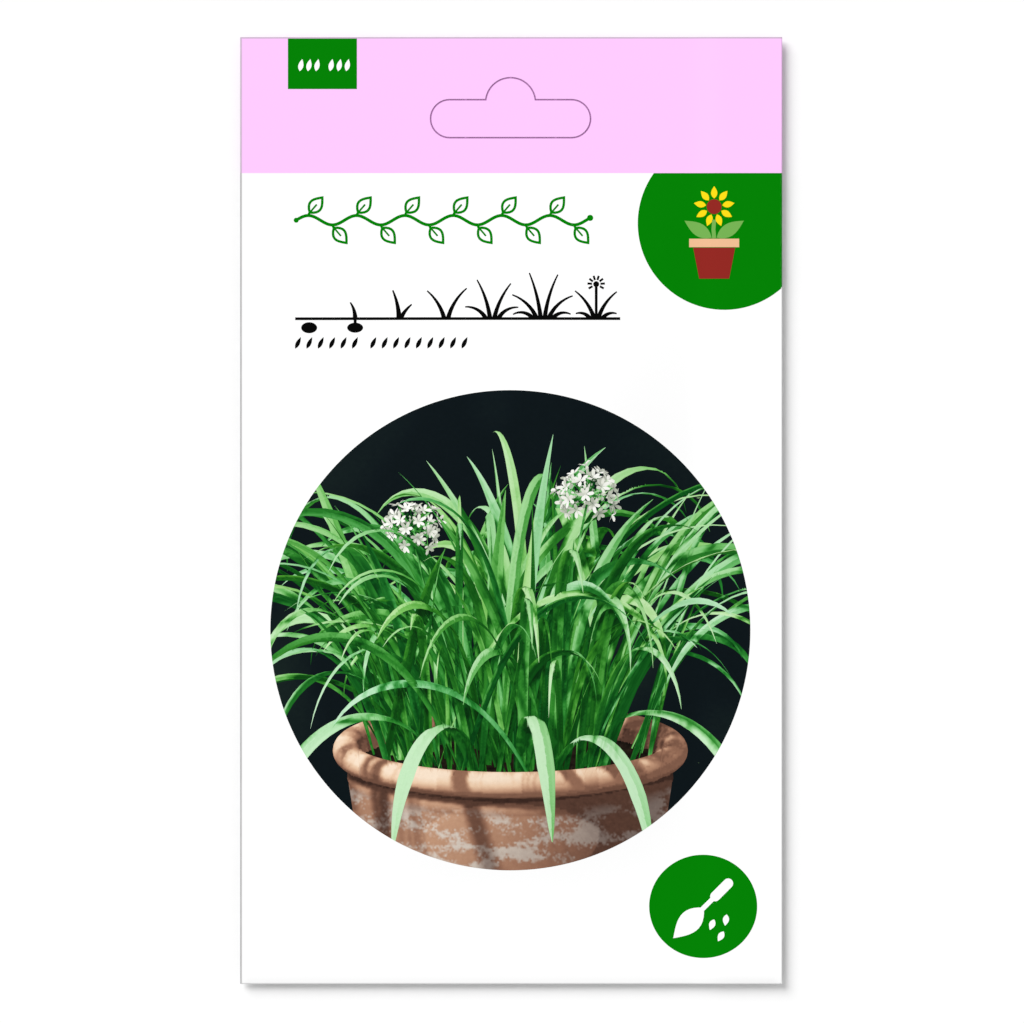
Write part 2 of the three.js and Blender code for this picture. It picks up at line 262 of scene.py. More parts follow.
class Bench:
    """The calls that every piece modelled by hand shares."""

    @staticmethod
    def clear() -> None:
        """Leaves edit mode and deselects everything."""
        if bpy.context.object and bpy.context.object.mode != "OBJECT":
            bpy.ops.object.mode_set(mode="OBJECT")
        bpy.ops.object.select_all(action="DESELECT")

    @classmethod
    def focus(cls, *objects: Piece) -> Piece:
        """Selects these objects alone, and makes the first one active.

        Args:
            *objects: The objects.

        Returns:
            The first one.
        """
        cls.clear()
        for each in objects:
            each.select_set(True)
        bpy.context.view_layer.objects.active = objects[0]
        return objects[0]

    @classmethod
    @contextmanager
    def editing(cls, piece: Piece) -> Iterator[None]:
        """Holds a piece alone in edit mode, with all of it selected.

        Args:
            piece: The piece.

        Yields:
            Nothing, while the piece is open.
        """
        cls.focus(piece)
        bpy.ops.object.mode_set(mode="EDIT")
        bpy.ops.mesh.select_all(action="SELECT")
        yield
        bpy.ops.object.mode_set(mode="OBJECT")

    @staticmethod
    def face_outwards() -> None:
        """Turns the normals of the open piece outwards."""
        bpy.ops.mesh.select_all(action="SELECT")
        bpy.ops.mesh.normals_make_consistent(inside=False)

    @classmethod
    def grid(cls, name: str, columns: int, rows: int, place: Callable[[int, int], Vector]) -> Piece:
        """A grid primitive whose points are then placed one by one.

        Args:
            name: The new object's name.
            columns: How many cells it has across.
            rows: How many cells it has up.
            place: Gives the place of each point by its column and row, in millimetres.

        Returns:
            The new object, with its origin at the frame's.
        """
        cls.clear()
        bpy.ops.mesh.primitive_grid_add(x_subdivisions=columns, y_subdivisions=rows, size=2)
        piece = bpy.context.object
        piece.name = piece.data.name = name
        for point in piece.data.vertices:
            column = round((point.co.x + 1) / 2 * columns)
            row = round((point.co.y + 1) / 2 * rows)
            point.co = place(column, row) * MM
        return piece

    @classmethod
    def outline(cls, name: str, points: Sequence[Point]) -> Piece:
        """A filled circle primitive, drawn out to the outline of another flat shape.

        Args:
            name: The new object's name.
            points: The outline, in millimetres, anticlockwise.

        Returns:
            The flat shape.
        """
        cls.clear()
        bpy.ops.mesh.primitive_circle_add(vertices=len(points), radius=1, fill_type="NGON")
        piece = bpy.context.object
        piece.name = piece.data.name = name
        ordered = sorted(piece.data.vertices, key=lambda v: math.atan2(v.co.y, v.co.x) % (2 * math.pi - 1e-6))
        for point, (x, y) in zip(ordered, points):
            point.co = Vector((x, y, 0)) * MM
        return piece

    @classmethod
    def raise_up(cls, piece: Piece, rise: float) -> Piece:
        """Extrudes a flat piece to a closed one.

        Args:
            piece: The piece.
            rise: How far up it goes, in millimetres, or down if it is below 0.

        Returns:
            The piece.
        """
        with cls.editing(piece):
            bpy.ops.mesh.extrude_region_move(TRANSFORM_OT_translate={"value": (0, 0, rise * MM)})
            cls.face_outwards()
        return piece

    @classmethod
    def thicken(cls, piece: Piece, low: float, high: float) -> Piece:
        """Moves a flat shape to one height and extrudes it to another.

        Args:
            piece: The flat shape.
            low: The first height, in millimetres.
            high: The second.

        Returns:
            The closed shape.
        """
        for point in piece.data.vertices:
            point.co.z = low * MM
        return cls.raise_up(piece, high - low)

    @classmethod
    def join(cls, name: str, pieces: Sequence[Piece]) -> Piece:
        """Joins objects into the first one.

        Args:
            name: What it is called then.
            pieces: The objects.

        Returns:
            The joined object.
        """
        piece = cls.focus(*pieces)
        if len(pieces) > 1:
            bpy.ops.object.join()
        piece.name = piece.data.name = name
        return piece

    @classmethod
    def apply(cls, piece: Piece, kind: str, **settings: object) -> None:
        """Adds a modifier and applies it.

        Args:
            piece: The piece that it changes.
            kind: The modifier's type.
            **settings: Its settings.
        """
        cls.focus(piece)
        modifier = piece.modifiers.new(kind.title(), kind)
        for key, value in settings.items():
            setattr(modifier, key, value)
        bpy.ops.object.modifier_apply(modifier=modifier.name)

    @classmethod
    def cut(cls, piece: Piece, cutter: Piece, operation: str) -> None:
        """Cuts a piece with another.

        Args:
            piece: The piece.
            cutter: The other one, which is used up.
            operation: The Boolean operation.
        """
        settings = {"operation": operation, "solver": "EXACT", "use_self": True, "material_mode": "INDEX"}
        cls.apply(piece, "BOOLEAN", object=cutter, **settings)
        bpy.data.objects.remove(cutter)
        cls.clean(piece)

    @classmethod
    def clean(cls, piece: Piece, reach: float = 0.0006) -> Piece:
        """Draws close points together, and takes away faces with no width.

        Args:
            piece: The piece.
            reach: How close such points are, in millimetres.

        Returns:
            The piece, in triangles.
        """
        with cls.editing(piece):
            bpy.ops.mesh.remove_doubles(threshold=reach * MM)
            bpy.ops.mesh.select_all(action="SELECT")
            bpy.ops.mesh.quads_convert_to_tris(quad_method="BEAUTY", ngon_method="BEAUTY")
            bpy.ops.mesh.select_all(action="SELECT")
            bpy.ops.mesh.dissolve_degenerate(threshold=reach * MM)
        return piece

    @classmethod
    def hand_over(cls, piece: Piece, *stands_for: str) -> None:
        """Smooths a finished piece of printed paper, gives it its body, and hides the solids that it stands for.

        Args:
            piece: The piece.
            *stands_for: The solids that it stands for.
        """
        cls.focus(piece)
        bpy.ops.object.shade_smooth_by_angle(angle=CREASE_ANGLE)
        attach(piece, "root")
        if stands_for:
            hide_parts(*stands_for)
        LOG.info("%s: %d faces", piece.name, len(piece.data.polygons))


class Signal:
    """A shader value to reckon with: each operator adds a Math node."""

    def __init__(self, shader: "Shader", socket: bpy.types.NodeSocket) -> None:
        """Wraps an output socket of a shader's node."""
        self.shader = shader
        self.socket = socket

    def _math(self, operation: str, *values: object) -> "Signal":
        """Adds a Math node on these values."""
        return self.shader.node("ShaderNodeMath", {"operation": operation}, dict(enumerate(values)))

    def __add__(self, other: object) -> "Signal":
        """self + other"""
        return self._math("ADD", self, other)

    __radd__ = __add__

    def __sub__(self, other: object) -> "Signal":
        """self - other"""
        return self._math("SUBTRACT", self, other)

    def __rsub__(self, other: object) -> "Signal":
        """other - self"""
        return self._math("SUBTRACT", other, self)

    def __mul__(self, other: object) -> "Signal":
        """self * other"""
        return self._math("MULTIPLY", self, other)

    __rmul__ = __mul__

    def size(self) -> "Signal":
        """The value without its sign."""
        return self._math("ABSOLUTE", self)

    def larger(self, other: object) -> "Signal":
        """The larger of two values."""
        return self._math("MAXIMUM", self, other)

    def wave(self) -> "Signal":
        """The sine of the value."""
        return self._math("SINE", self)

    def above(self, low: float, high: float) -> "Signal":
        """0 below low, 1 above high, and a smooth step between."""
        settings = {"interpolation_type": "SMOOTHSTEP"}
        return self.shader.node("ShaderNodeMapRange", settings, {"Value": self, "From Min": low, "From Max": high})


class Shader:
    """One material's nodes."""

    def __init__(self, name: str) -> None:
        """Starts a material with nothing but its output.

        Args:
            name: The material's name.
        """
        self.material = bpy.data.materials.new(name)
        self.material.use_nodes = True
        self.tree = self.material.node_tree
        self.tree.nodes.clear()
        self.output = self.tree.nodes.new("ShaderNodeOutputMaterial")

    def node(self, kind: str, settings: dict | None = None, links: dict | None = None, output: int | str = 0) -> Signal:
        """Adds a node.

        Args:
            kind: The node's type.
            settings: Its own settings, which are set first. A ramp's are under "stops".
            links: The values or links of its sockets, by name or number.
            output: Which of its outputs is given back.

        Returns:
            That output, to link or to reckon with.
        """
        made = self.tree.nodes.new(kind)
        for key, value in (settings or {}).items():
            if key == "stops":
                ramp = made.color_ramp.elements
                while len(ramp) < len(value):
                    ramp.new(0.5)
                for stop, (at, colour) in zip(ramp, value):
                    stop.position = at
                    stop.color = (*colour, 1)
            else:
                setattr(made, key, value)
        for key, value in (links or {}).items():
            if isinstance(value, Signal):
                self.tree.links.new(value.socket, made.inputs[key])
            elif isinstance(value, tuple) and made.inputs[key].type == "RGBA" and len(value) == 3:
                made.inputs[key].default_value = (*value, 1)
            else:
                made.inputs[key].default_value = value
        return Signal(self, made.outputs[output])

    def place(self) -> Signal:
        """The point's place in the packet's frame."""
        return self.node("ShaderNodeTexCoord", output="Object")

    def parts(self, vector: Signal) -> tuple[Signal, Signal, Signal]:
        """Takes a vector apart.

        Args:
            vector: The vector.

        Returns:
            Its three parts.
        """
        first = self.node("ShaderNodeSeparateXYZ", links={0: vector})
        outputs = first.socket.node.outputs
        return first, Signal(self, outputs[1]), Signal(self, outputs[2])

    def speckle(self, scale: float, detail: float = 2.0, rough: float = 0.5, stretch: tuple | None = None) -> Signal:
        """Noise of so many cells to the metre, about 0.5.

        Args:
            scale: Cells to the metre.
            detail: How many finer layers it has.
            rough: How strong the finer layers are.
            stretch: How much each axis is squeezed first.

        Returns:
            The noise.
        """
        at = self.place()
        if stretch:
            at = self.node("ShaderNodeMapping", links={"Vector": at, "Scale": stretch})
        links = {"Vector": at, "Scale": scale, "Detail": detail, "Roughness": rough}
        return self.node("ShaderNodeTexNoise", links=links)

    def tinted(self, colour: Colour | Signal, shade: Signal) -> Signal:
        """Makes a colour lighter or darker.

        Args:
            colour: The colour.
            shade: How much of it is left, about 1.

        Returns:
            The shaded colour.
        """
        settings = {"data_type": "RGBA", "blend_type": "MULTIPLY"}
        grey = self.node("ShaderNodeCombineColor", links={0: shade, 1: shade, 2: shade})
        return self.node("ShaderNodeMix", settings, {"Factor": 1.0, 6: colour, 7: grey}, 2)

    def between(self, first: Colour | Signal, second: Colour | Signal, share: Signal) -> Signal:
        """A colour that goes from the first to the second as share goes from 0 to 1."""
        settings = {"data_type": "RGBA", "clamp_factor": True}
        return self.node("ShaderNodeMix", settings, {"Factor": share, 6: first, 7: second}, 2)

    def finish(self, height: Signal | None = None, depth: float = 0.01, **sockets: object) -> Material:
        """Adds the surface itself.

        Args:
            height: The fine relief, from 0 to 1.
            depth: How deep that relief is, in millimetres.
            **sockets: The surface's sockets, with _ for each space in a name.

        Returns:
            The finished material.
        """
        links = {key.replace("_", " "): value for key, value in sockets.items()}
        if height is not None:
            bump = {"Height": height, "Distance": depth * MM, "Strength": 1.0}
            links["Normal"] = self.node("ShaderNodeBump", links=bump)
        surface = self.node("ShaderNodeBsdfPrincipled", links=links)
        self.tree.links.new(surface.socket, self.output.inputs["Surface"])
        return self.material


@dataclass(frozen=True)
class CoatedPaper:
    """Smooth coated paper with an even print on it.

    Attributes:
        name: The material's name.
        colour: The print's linear colour.
        mottle: How unevenly the ink lies.
        roughness: How matt it is.
        edge_shade_and_wear: How much grey is painted along the packet's edges, partly as painted edge shade and partly
            as wear.
        shade_and_wear_grey: The linear colour of that painted grey rim, partly edge shade and partly wear.
    """

    name: str
    colour: Colour
    mottle: float = 0.012
    roughness: float = 0.48
    edge_shade_and_wear: float = 0.0
    shade_and_wear_grey: Colour = (0.34, 0.335, 0.34)

    def edges(self, s: Shader) -> Signal:
        """The painted grey rim, partly edge shade and partly wear: strongest along the left fold and the top edge.

        Args:
            s: The material's nodes.

        Returns:
            How much of that painted grey lies over the print, from 0 to 1.
        """
        x, y, _ = s.parts(s.place())
        packet = Packet()
        left = (0 - x).above((packet.right - 0.48) * MM, (packet.right - 0.14) * MM)
        top = y.above((packet.top - 0.42) * MM, (packet.top - 0.08) * MM)
        right = x.above((packet.right - 0.20) * MM, packet.right * MM)
        foot = (0 - y).above((packet.top - 0.20) * MM, packet.top * MM)
        uneven = 0.85 + 0.3 * s.speckle(260, 3, 0.6)
        return (left.larger(top * 0.9) + (right + foot) * 0.05) * uneven

    def make(self) -> Material:
        """Mixes slow clouds and fine grain in the ink, over the paper's fibres.

        Returns:
            The material.
        """
        s = Shader(self.name)
        clouds = s.speckle(70, 2)
        grain = s.speckle(2600, 3, 0.6)
        fibres = s.speckle(1500, 4, 0.62, (1.0, 0.35, 1.0))
        shade = 1 + self.mottle * (clouds - 0.5) + self.mottle * 1.2 * (grain - 0.5)
        inked = s.tinted(self.colour, shade)
        # Painted grey along the packet's edges: partly painted edge shade, partly wear.
        if self.edge_shade_and_wear:
            inked = s.between(inked, self.shade_and_wear_grey, self.edges(s) * self.edge_shade_and_wear)
        return s.finish(
            fibres * 0.7 + grain * 0.3,
            0.006,
            Base_Color=inked,
            Roughness=self.roughness + 0.10 * (clouds - 0.5) + 0.08 * (fibres - 0.5),
            Specular_IOR_Level=0.03,
        )


@dataclass(frozen=True)
class BarePaper:
    """The uncoated inside of the sheet and its cut edges."""

    name: str = "bare_paper"
    colour: Colour = (0.80, 0.79, 0.765)

    def make(self) -> Material:
        """Mixes cloudy pulp with single darker fibres.

        Returns:
            The material.
        """
        s = Shader(self.name)
        pulp = s.speckle(420, 4, 0.65)
        fibres = s.speckle(2100, 4, 0.7, (1.0, 0.25, 1.0))
        specks = s.speckle(900, 1).above(0.70, 0.76)
        shade = 1 + 0.05 * (pulp - 0.5) + 0.06 * (fibres - 0.5) - 0.12 * specks
        return s.finish(
            pulp * 0.4 + fibres * 0.6,
            0.016,
            Base_Color=s.tinted(self.colour, shade),
            Roughness=0.82 + 0.1 * (fibres - 0.5),
            Specular_IOR_Level=0.25,
        )


@dataclass(frozen=True)
class PictureInk:
    """The picture's four printed inks, mixed at each corner of its mesh."""

    name: str = "picture_ink"
    layer: str = "ink"

    def make(self) -> Material:
        """Mixes the mixed inks with a faint grain and a slightly glossier skin than the paper.

        Returns:
            The material.
        """
        s = Shader(self.name)
        inks = s.node("ShaderNodeVertexColor", {"layer_name": self.layer})
        grain = s.speckle(3200, 2, 0.6)
        soft = s.speckle(900, 2)
        shade = 1 + 0.10 * (grain - 0.5) + 0.08 * (soft - 0.5)
        return s.finish(
            grain,
            0.003,
            Base_Color=s.tinted(inks, shade),
            Roughness=0.42 + 0.08 * (soft - 0.5),
            Specular_IOR_Level=0.03,
        )


@dataclass(frozen=True)
class BarrierFilm:
    """The sachet's film: satin and silvery, crinkled, with a fine cross-hatch pressed into its seals."""

    name: str = "barrier_film"
    colour: Colour = (0.60, 0.61, 0.63)
    half_width: float = 36.0
    bottom: float = -64.0
    top: float = 27.0
    seal: float = 7.0

    def make(self) -> Material:
        """Mixes the finish.

        Returns:
            The material.
        """
        s = Shader(self.name)
        x, y, _ = s.parts(s.place())
        side = x.size().above((self.half_width - self.seal) * MM, (self.half_width - self.seal + 0.8) * MM)
        centre = (self.top + self.bottom) / 2
        reach = (self.top - self.bottom) / 2 - self.seal
        ends = (y - centre * MM).size().above(reach * MM, (reach + 0.8) * MM)
        seal = side + ends - side * ends
        hatch = ((x + y) * 4200).wave() * ((x - y) * 4200).wave()
        cells = {"Vector": s.place(), "Scale": 130.0}
        crease = s.node("ShaderNodeTexVoronoi", {"feature": "DISTANCE_TO_EDGE"}, cells)
        soft = s.speckle(220, 3)
        height = seal * (0.5 + 0.5 * hatch) * 0.5 + (1 - seal) * (crease.above(0.0, 0.12) * 0.5 + soft * 0.5)
        shade = 1 + 0.08 * (soft - 0.5) - 0.10 * seal
        return s.finish(
            height,
            0.05,
            Base_Color=s.tinted(self.colour, shade),
            Roughness=0.30 + 0.15 * seal + 0.1 * (soft - 0.5),
            Metallic=0.55,
        )


@dataclass(frozen=True)
class DriedGlue:
    """A hot-melt glue line, pressed flat: ivory, waxy, with trapped bubbles."""

    name: str = "dried_glue"
    colour: Colour = (0.82, 0.77, 0.62)

    def make(self) -> Material:
        """Mixes the finish.

        Returns:
            The material.
        """
        s = Shader(self.name)
        cells = {"Vector": s.place(), "Scale": 900.0}
        bubbles = 1 - s.node("ShaderNodeTexVoronoi", {"feature": "F1"}, cells).above(0.1, 0.34)
        drag = s.speckle(300, 3, 0.6, (0.2, 1.0, 1.0))
        return s.finish(
            drag * 0.7 + bubbles * 0.3,
            0.02,
            Base_Color=s.tinted(self.colour, 1 + 0.14 * (drag - 0.5) - 0.12 * bubbles),
            Roughness=0.42 + 0.2 * (drag - 0.5),
            Coat_Weight=0.15,
        )


@dataclass(frozen=True)
class SeedCoat:
    """A dry black seed coat, wrinkled, with a dull bloom on its high spots."""

    name: str = "dry_seed_coat"
    colour: Colour = (0.012, 0.011, 0.013)
    bloom: Colour = (0.055, 0.052, 0.055)

    def make(self) -> Material:
        """Mixes the finish.

        Returns:
            The material.
        """
        s = Shader(self.name)
        cells = {"Vector": s.place(), "Scale": 3600.0}
        wrinkles = s.node("ShaderNodeTexVoronoi", {"feature": "DISTANCE_TO_EDGE"}, cells).above(0.0, 0.25)
        dust = s.speckle(1400, 4, 0.7)
        return s.finish(
            wrinkles * 0.6 + dust * 0.4,
            0.06,
            Base_Color=s.between(self.colour, self.bloom, wrinkles * dust.above(0.42, 0.7)),
            Roughness=0.62 + 0.25 * (dust - 0.5),
        )


@dataclass(frozen=True)
class FloorPaint:
    """The plain pale floor."""

    name: str = "pale_floor"
    colour: Colour = (0.9, 0.9, 0.9)

    def make(self) -> Material:
        """Mixes the finish.

        Returns:
            The material.
        """
        s = Shader(self.name)
        shade = 1 + 0.004 * (s.speckle(30, 2) - 0.5)
        return s.finish(Base_Color=s.tinted(self.colour, shade), Roughness=0.9, Specular_IOR_Level=0.0)


class Ink(Enum):
    """The printed colours, as the sheet's finishes."""

    # scuffs paints grey along the edges of these inks: partly edge shade, partly wear.
    WHITE = CoatedPaper("white_paper", printed(255, 255, 255), 0.006, edge_shade_and_wear=1.0)
    PINK = CoatedPaper("pink_print", printed(255, 202, 255), 0.008, edge_shade_and_wear=0.8)
    # A darker pink painted on the slot's groove: painted shade in the cut.
    CREASED = CoatedPaper("shaded_groove_print", printed(198, 142, 198), 0.05, 0.6)
    GREEN = CoatedPaper("green_print", printed(0, 128, 1), 0.05, 0.42, 0.3)
    BLACK = CoatedPaper("black_print", printed(3, 3, 3), 0.15, 0.42)
    GREY = CoatedPaper("grey_print", printed(138, 138, 142), 0.05, 0.45)
    YELLOW = CoatedPaper("yellow_print", printed(252, 221, 22), 0.03, 0.45)
    LEAF = CoatedPaper("light_green_print", printed(118, 178, 84), 0.04, 0.45)
    RED = CoatedPaper("dark_red_print", printed(146, 40, 34), 0.06, 0.45)
    CLAY = CoatedPaper("pale_clay_print", printed(240, 190, 148), 0.04, 0.45)

    def material(self) -> Material:
        """The ink's material, made once."""
        return bpy.data.materials.get(self.value.name) or self.value.make()


@dataclass
class Station:
    """One point across the folded sheet, and the height of the paper's middle there."""

    x: float
    layer: Level


@dataclass
class FoldedSheet:
    """The printed sheet: tab, front, back and bottom flap in one piece, with the die-cut slot."""

    packet: Packet
    slot: HangSlot
    column_pitch: float = 1.6
    row_pitch: float = 1.7
    header_pitch: float = 3.0
    fold_steps: int = 6
    badge_foot: float = 44.7
    flap_reach: float = 53.9
    corner_drop: float = 0.26
    blades: tuple[float, float] = (0.4, 3.2)
    groove_top: float = 3.3

    def fold(self, sign: int, under: Level) -> list[Station]:
        """The stations round a side fold, where the front meets the layer under it.

        Args:
            sign: 1 for the right fold, -1 for the left.
            under: The height of that layer.

        Returns:
            The stations between the two layers, in the order in which the sheet runs.
        """
        p, radius = self.packet, self.packet.ply / 2
        stations = []
        for k in range(1, self.fold_steps):
            a = math.pi * k / self.fold_steps

            def layer(_x: float, y: float, rise: float = -sign * radius * math.cos(a)) -> float:
                """The height on the fold."""
                return (under(-p.right, y) + p.front(sign * p.fold_x, y)) / 2 + rise

            stations.append(Station(sign * (p.fold_x + radius * math.sin(a)), layer))
        return stations

    def columns(self) -> list[Station]:
        """The stations from the tab's free edge over the front to the back panel's free edge.

        Returns:
            The stations, in that order.
        """
        p = self.packet

        def tab(_x: float, _y: float) -> float:
            """The height of the tab."""
            return p.tab_level

        stations = [Station(x, tab) for x in (p.right - p.tab, p.right - 6, p.right - 2.2, p.fold_x)]
        cells = round(2 * self.flap_reach / self.column_pitch)
        across = [p.fold_x, *(self.flap_reach * (1 - 2 * k / cells) for k in range(cells + 1)), -p.fold_x]
        stations += [*self.fold(1, tab), *(Station(x, p.front) for x in across), *self.fold(-1, p.back)]
        free_edge = p.right - p.setback
        backwards = [*(x for x in reversed(across[1:]) if x < free_edge - 0.4), free_edge]
        return stations + [Station(x, p.back) for x in backwards]

    def rows(self) -> list[float]:
        """The rows' heights: from the bottom fold, through the badge's foot, to the header and the top.

        Returns:
            The heights, going up.
        """
        p = self.packet
        rows: list[float] = []
        stops = [p.fold_y, self.badge_foot, p.header_line, p.top]
        for low, high, pitch in zip(stops, stops[1:], (self.row_pitch, self.row_pitch, self.header_pitch)):
            cells = round((high - low) / pitch)
            rows += [low + (high - low) * k / cells for k in range(cells)]
        return [*rows, p.top]

    def add_flap(self, piece: Piece) -> None:
        """Extrudes the bottom flap from the front's foot, round the bottom fold and up behind the back.

        Args:
            piece: The sheet without its flap.
        """
        p = self.packet
        reach = self.flap_reach + 0.1
        turns = [(math.pi * k / self.fold_steps, 0.0) for k in range(1, self.fold_steps + 1)]
        full = p.flap - (p.fold_y + p.top)
        turns += [(math.pi, full * share) for share in (0.25, 0.5, 0.75, 1.0)]
        Bench.focus(piece)
        bpy.ops.object.mode_set(mode="EDIT")
        bpy.ops.mesh.select_mode(type="EDGE")
        bpy.ops.mesh.select_all(action="DESELECT")
        shape = bmesh.from_edit_mesh(piece.data)
        for edge in shape.edges:
            ends = [v.co / MM for v in edge.verts]
            foot = all(abs(c.y - p.fold_y) < 0.01 and abs(c.x) < reach for c in ends)
            if foot and all(abs(c.z - p.front(c.x, c.y)) < 0.01 for c in ends):
                edge.select_set(True)
        bmesh.update_edit_mesh(piece.data)
        narrowed = 1.0
        for angle, run in turns:
            bpy.ops.mesh.extrude_edges_move()
            shape = bmesh.from_edit_mesh(piece.data)
            narrows = 1 - p.flap_taper * run / p.flap
            for point in (v for v in shape.verts if v.select):
                x = point.co.x / MM / narrowed
                half = (p.front(x, p.fold_y) - p.flap_level) / 2
                y = p.fold_y - p.ply * math.sin(angle) + run
                z = p.flap_level + half + half * math.cos(angle)
                point.co = Vector((x * narrows, y, z)) * MM
            bmesh.update_edit_mesh(piece.data)
            narrowed = narrows
        bpy.ops.object.mode_set(mode="OBJECT")

    def paint(self, piece: Piece) -> None:
        """Gives each face its print: white, the pink header, and the badge where it runs round the fold.

        Args:
            piece: The sheet.
        """
        p = self.packet
        for ink in (Ink.WHITE, Ink.PINK, Ink.GREEN):
            piece.data.materials.append(ink.material())
        piece.data.materials.append(BarePaper().make())
        for face in piece.data.polygons:
            at = face.center / MM
            badge = at.x > p.fold_x and at.z > p.tab_level and at.y > self.badge_foot
            face.material_index = 1 if at.y > p.header_line else 2 if badge else 0

    def cutter(self) -> Piece:
        """The knife round the hang slot: thin deep blades, and a creased groove half through the front.

        Returns:
            The knife, to be cut out of the sheet.
        """
        blades = []
        for run in self.slot.runs():
            blade = Strip("knife", run, self.slot.kerf).build()
            blades.append(Bench.thicken(blade, *self.blades))
        groove = Strip("knife", self.slot.outline(), self.slot.groove, closed=True).build()
        half_through = self.packet.front(0, self.slot.y)
        blades.append(Bench.thicken(groove, half_through, self.groove_top))
        knife = Bench.join("knife", blades)
        for face in knife.data.polygons:
            lowest = min(knife.data.vertices[k].co.z for k in face.vertices) / MM
            # The groove's faces take the darker pink of painted shade; the blades' walls are bare paper.
            face.material_index = 4 if lowest > half_through - 0.01 else 3
        return knife

    def build(self) -> None:
        """Folds the sheet, prints it, gives it its thickness and cuts the slot's line."""
        columns, rows = self.columns(), self.rows()

        def place(column: int, row: int) -> Vector:
            """The place of a point of the sheet.

            Args:
                column: Its column.
                row: Its row.

            Returns:
                The place, a little lower at the foot beside the flap.
            """
            station, y = columns[column], rows[row]
            beside_flap = row == 0 and abs(station.x) > self.flap_reach + 0.01
            return Vector((station.x, y - self.corner_drop * beside_flap, station.layer(station.x, y)))

        piece = Bench.grid("packet_paper", len(columns) - 1, len(rows) - 1, place)
        self.add_flap(piece)
        with Bench.editing(piece):
            Bench.face_outwards()
        front = min(piece.data.polygons, key=lambda f: (f.center - Vector((0, 0, 0.004))).length)
        if front.normal.z < 0:
            piece.data.flip_normals()
        self.paint(piece)
        thickness = {"thickness": self.packet.paper * MM, "offset": 0.0, "use_even_offset": True, "use_rim": True}
        Bench.apply(piece, "SOLIDIFY", material_offset=3, material_offset_rim=3, **thickness)
        # The fifth slot is the groove's painted shade.
        piece.data.materials.append(Ink.CREASED.material())
        Bench.cut(piece, self.cutter(), "DIFFERENCE")
        Bench.hand_over(piece, "packet_sheet")


@dataclass
class Strip:
    """A grid primitive one cell wide, laid along a path.

    Attributes:
        name: Its object's name.
        path: The points along its middle.
        width: Its width at its start.
        closed: Whether it runs back to its start.
        taper: How much of its width it has lost by its end.
    """

    name: str
    path: Sequence[Point]
    width: float
    closed: bool = False
    taper: float = 0.0

    def build(self) -> Piece:
        """Lays the strip.

        Returns:
            The flat strip.
        """
        points = [Vector(p) for p in self.path]
        last = len(points) - 1
        if self.closed:
            points.append(points[0].copy())
            last += 1
        sides: list[Vector] = []
        for k, at in enumerate(points):
            before = points[last - 1 if self.closed and k == 0 else max(k - 1, 0)]
            after = points[1 if self.closed and k == last else min(k + 1, last)]
            first, second = (at - before), (after - at)
            along = (first.normalized() + second.normalized()) if first.length and second.length else first + second
            along.normalize()
            turn = max(0.5, along.dot(second.normalized() if second.length else along))
            sides.append(Vector((-along.y, along.x)) / turn)

        def place(column: int, row: int) -> Vector:
            """The place of the point in that column and row."""
            half = self.width / 2 * (1 - self.taper * column / last)
            return Vector((*(points[column] + sides[column] * (half if row else -half)), 0))

        piece = Bench.grid(self.name, last, 1, place)
        if self.closed:
            with Bench.editing(piece):
                bpy.ops.mesh.remove_doubles(threshold=1e-6)
        return piece


class Side(Enum):
    """Which panel an ink lies on."""

    FRONT = 1
    BACK = -1


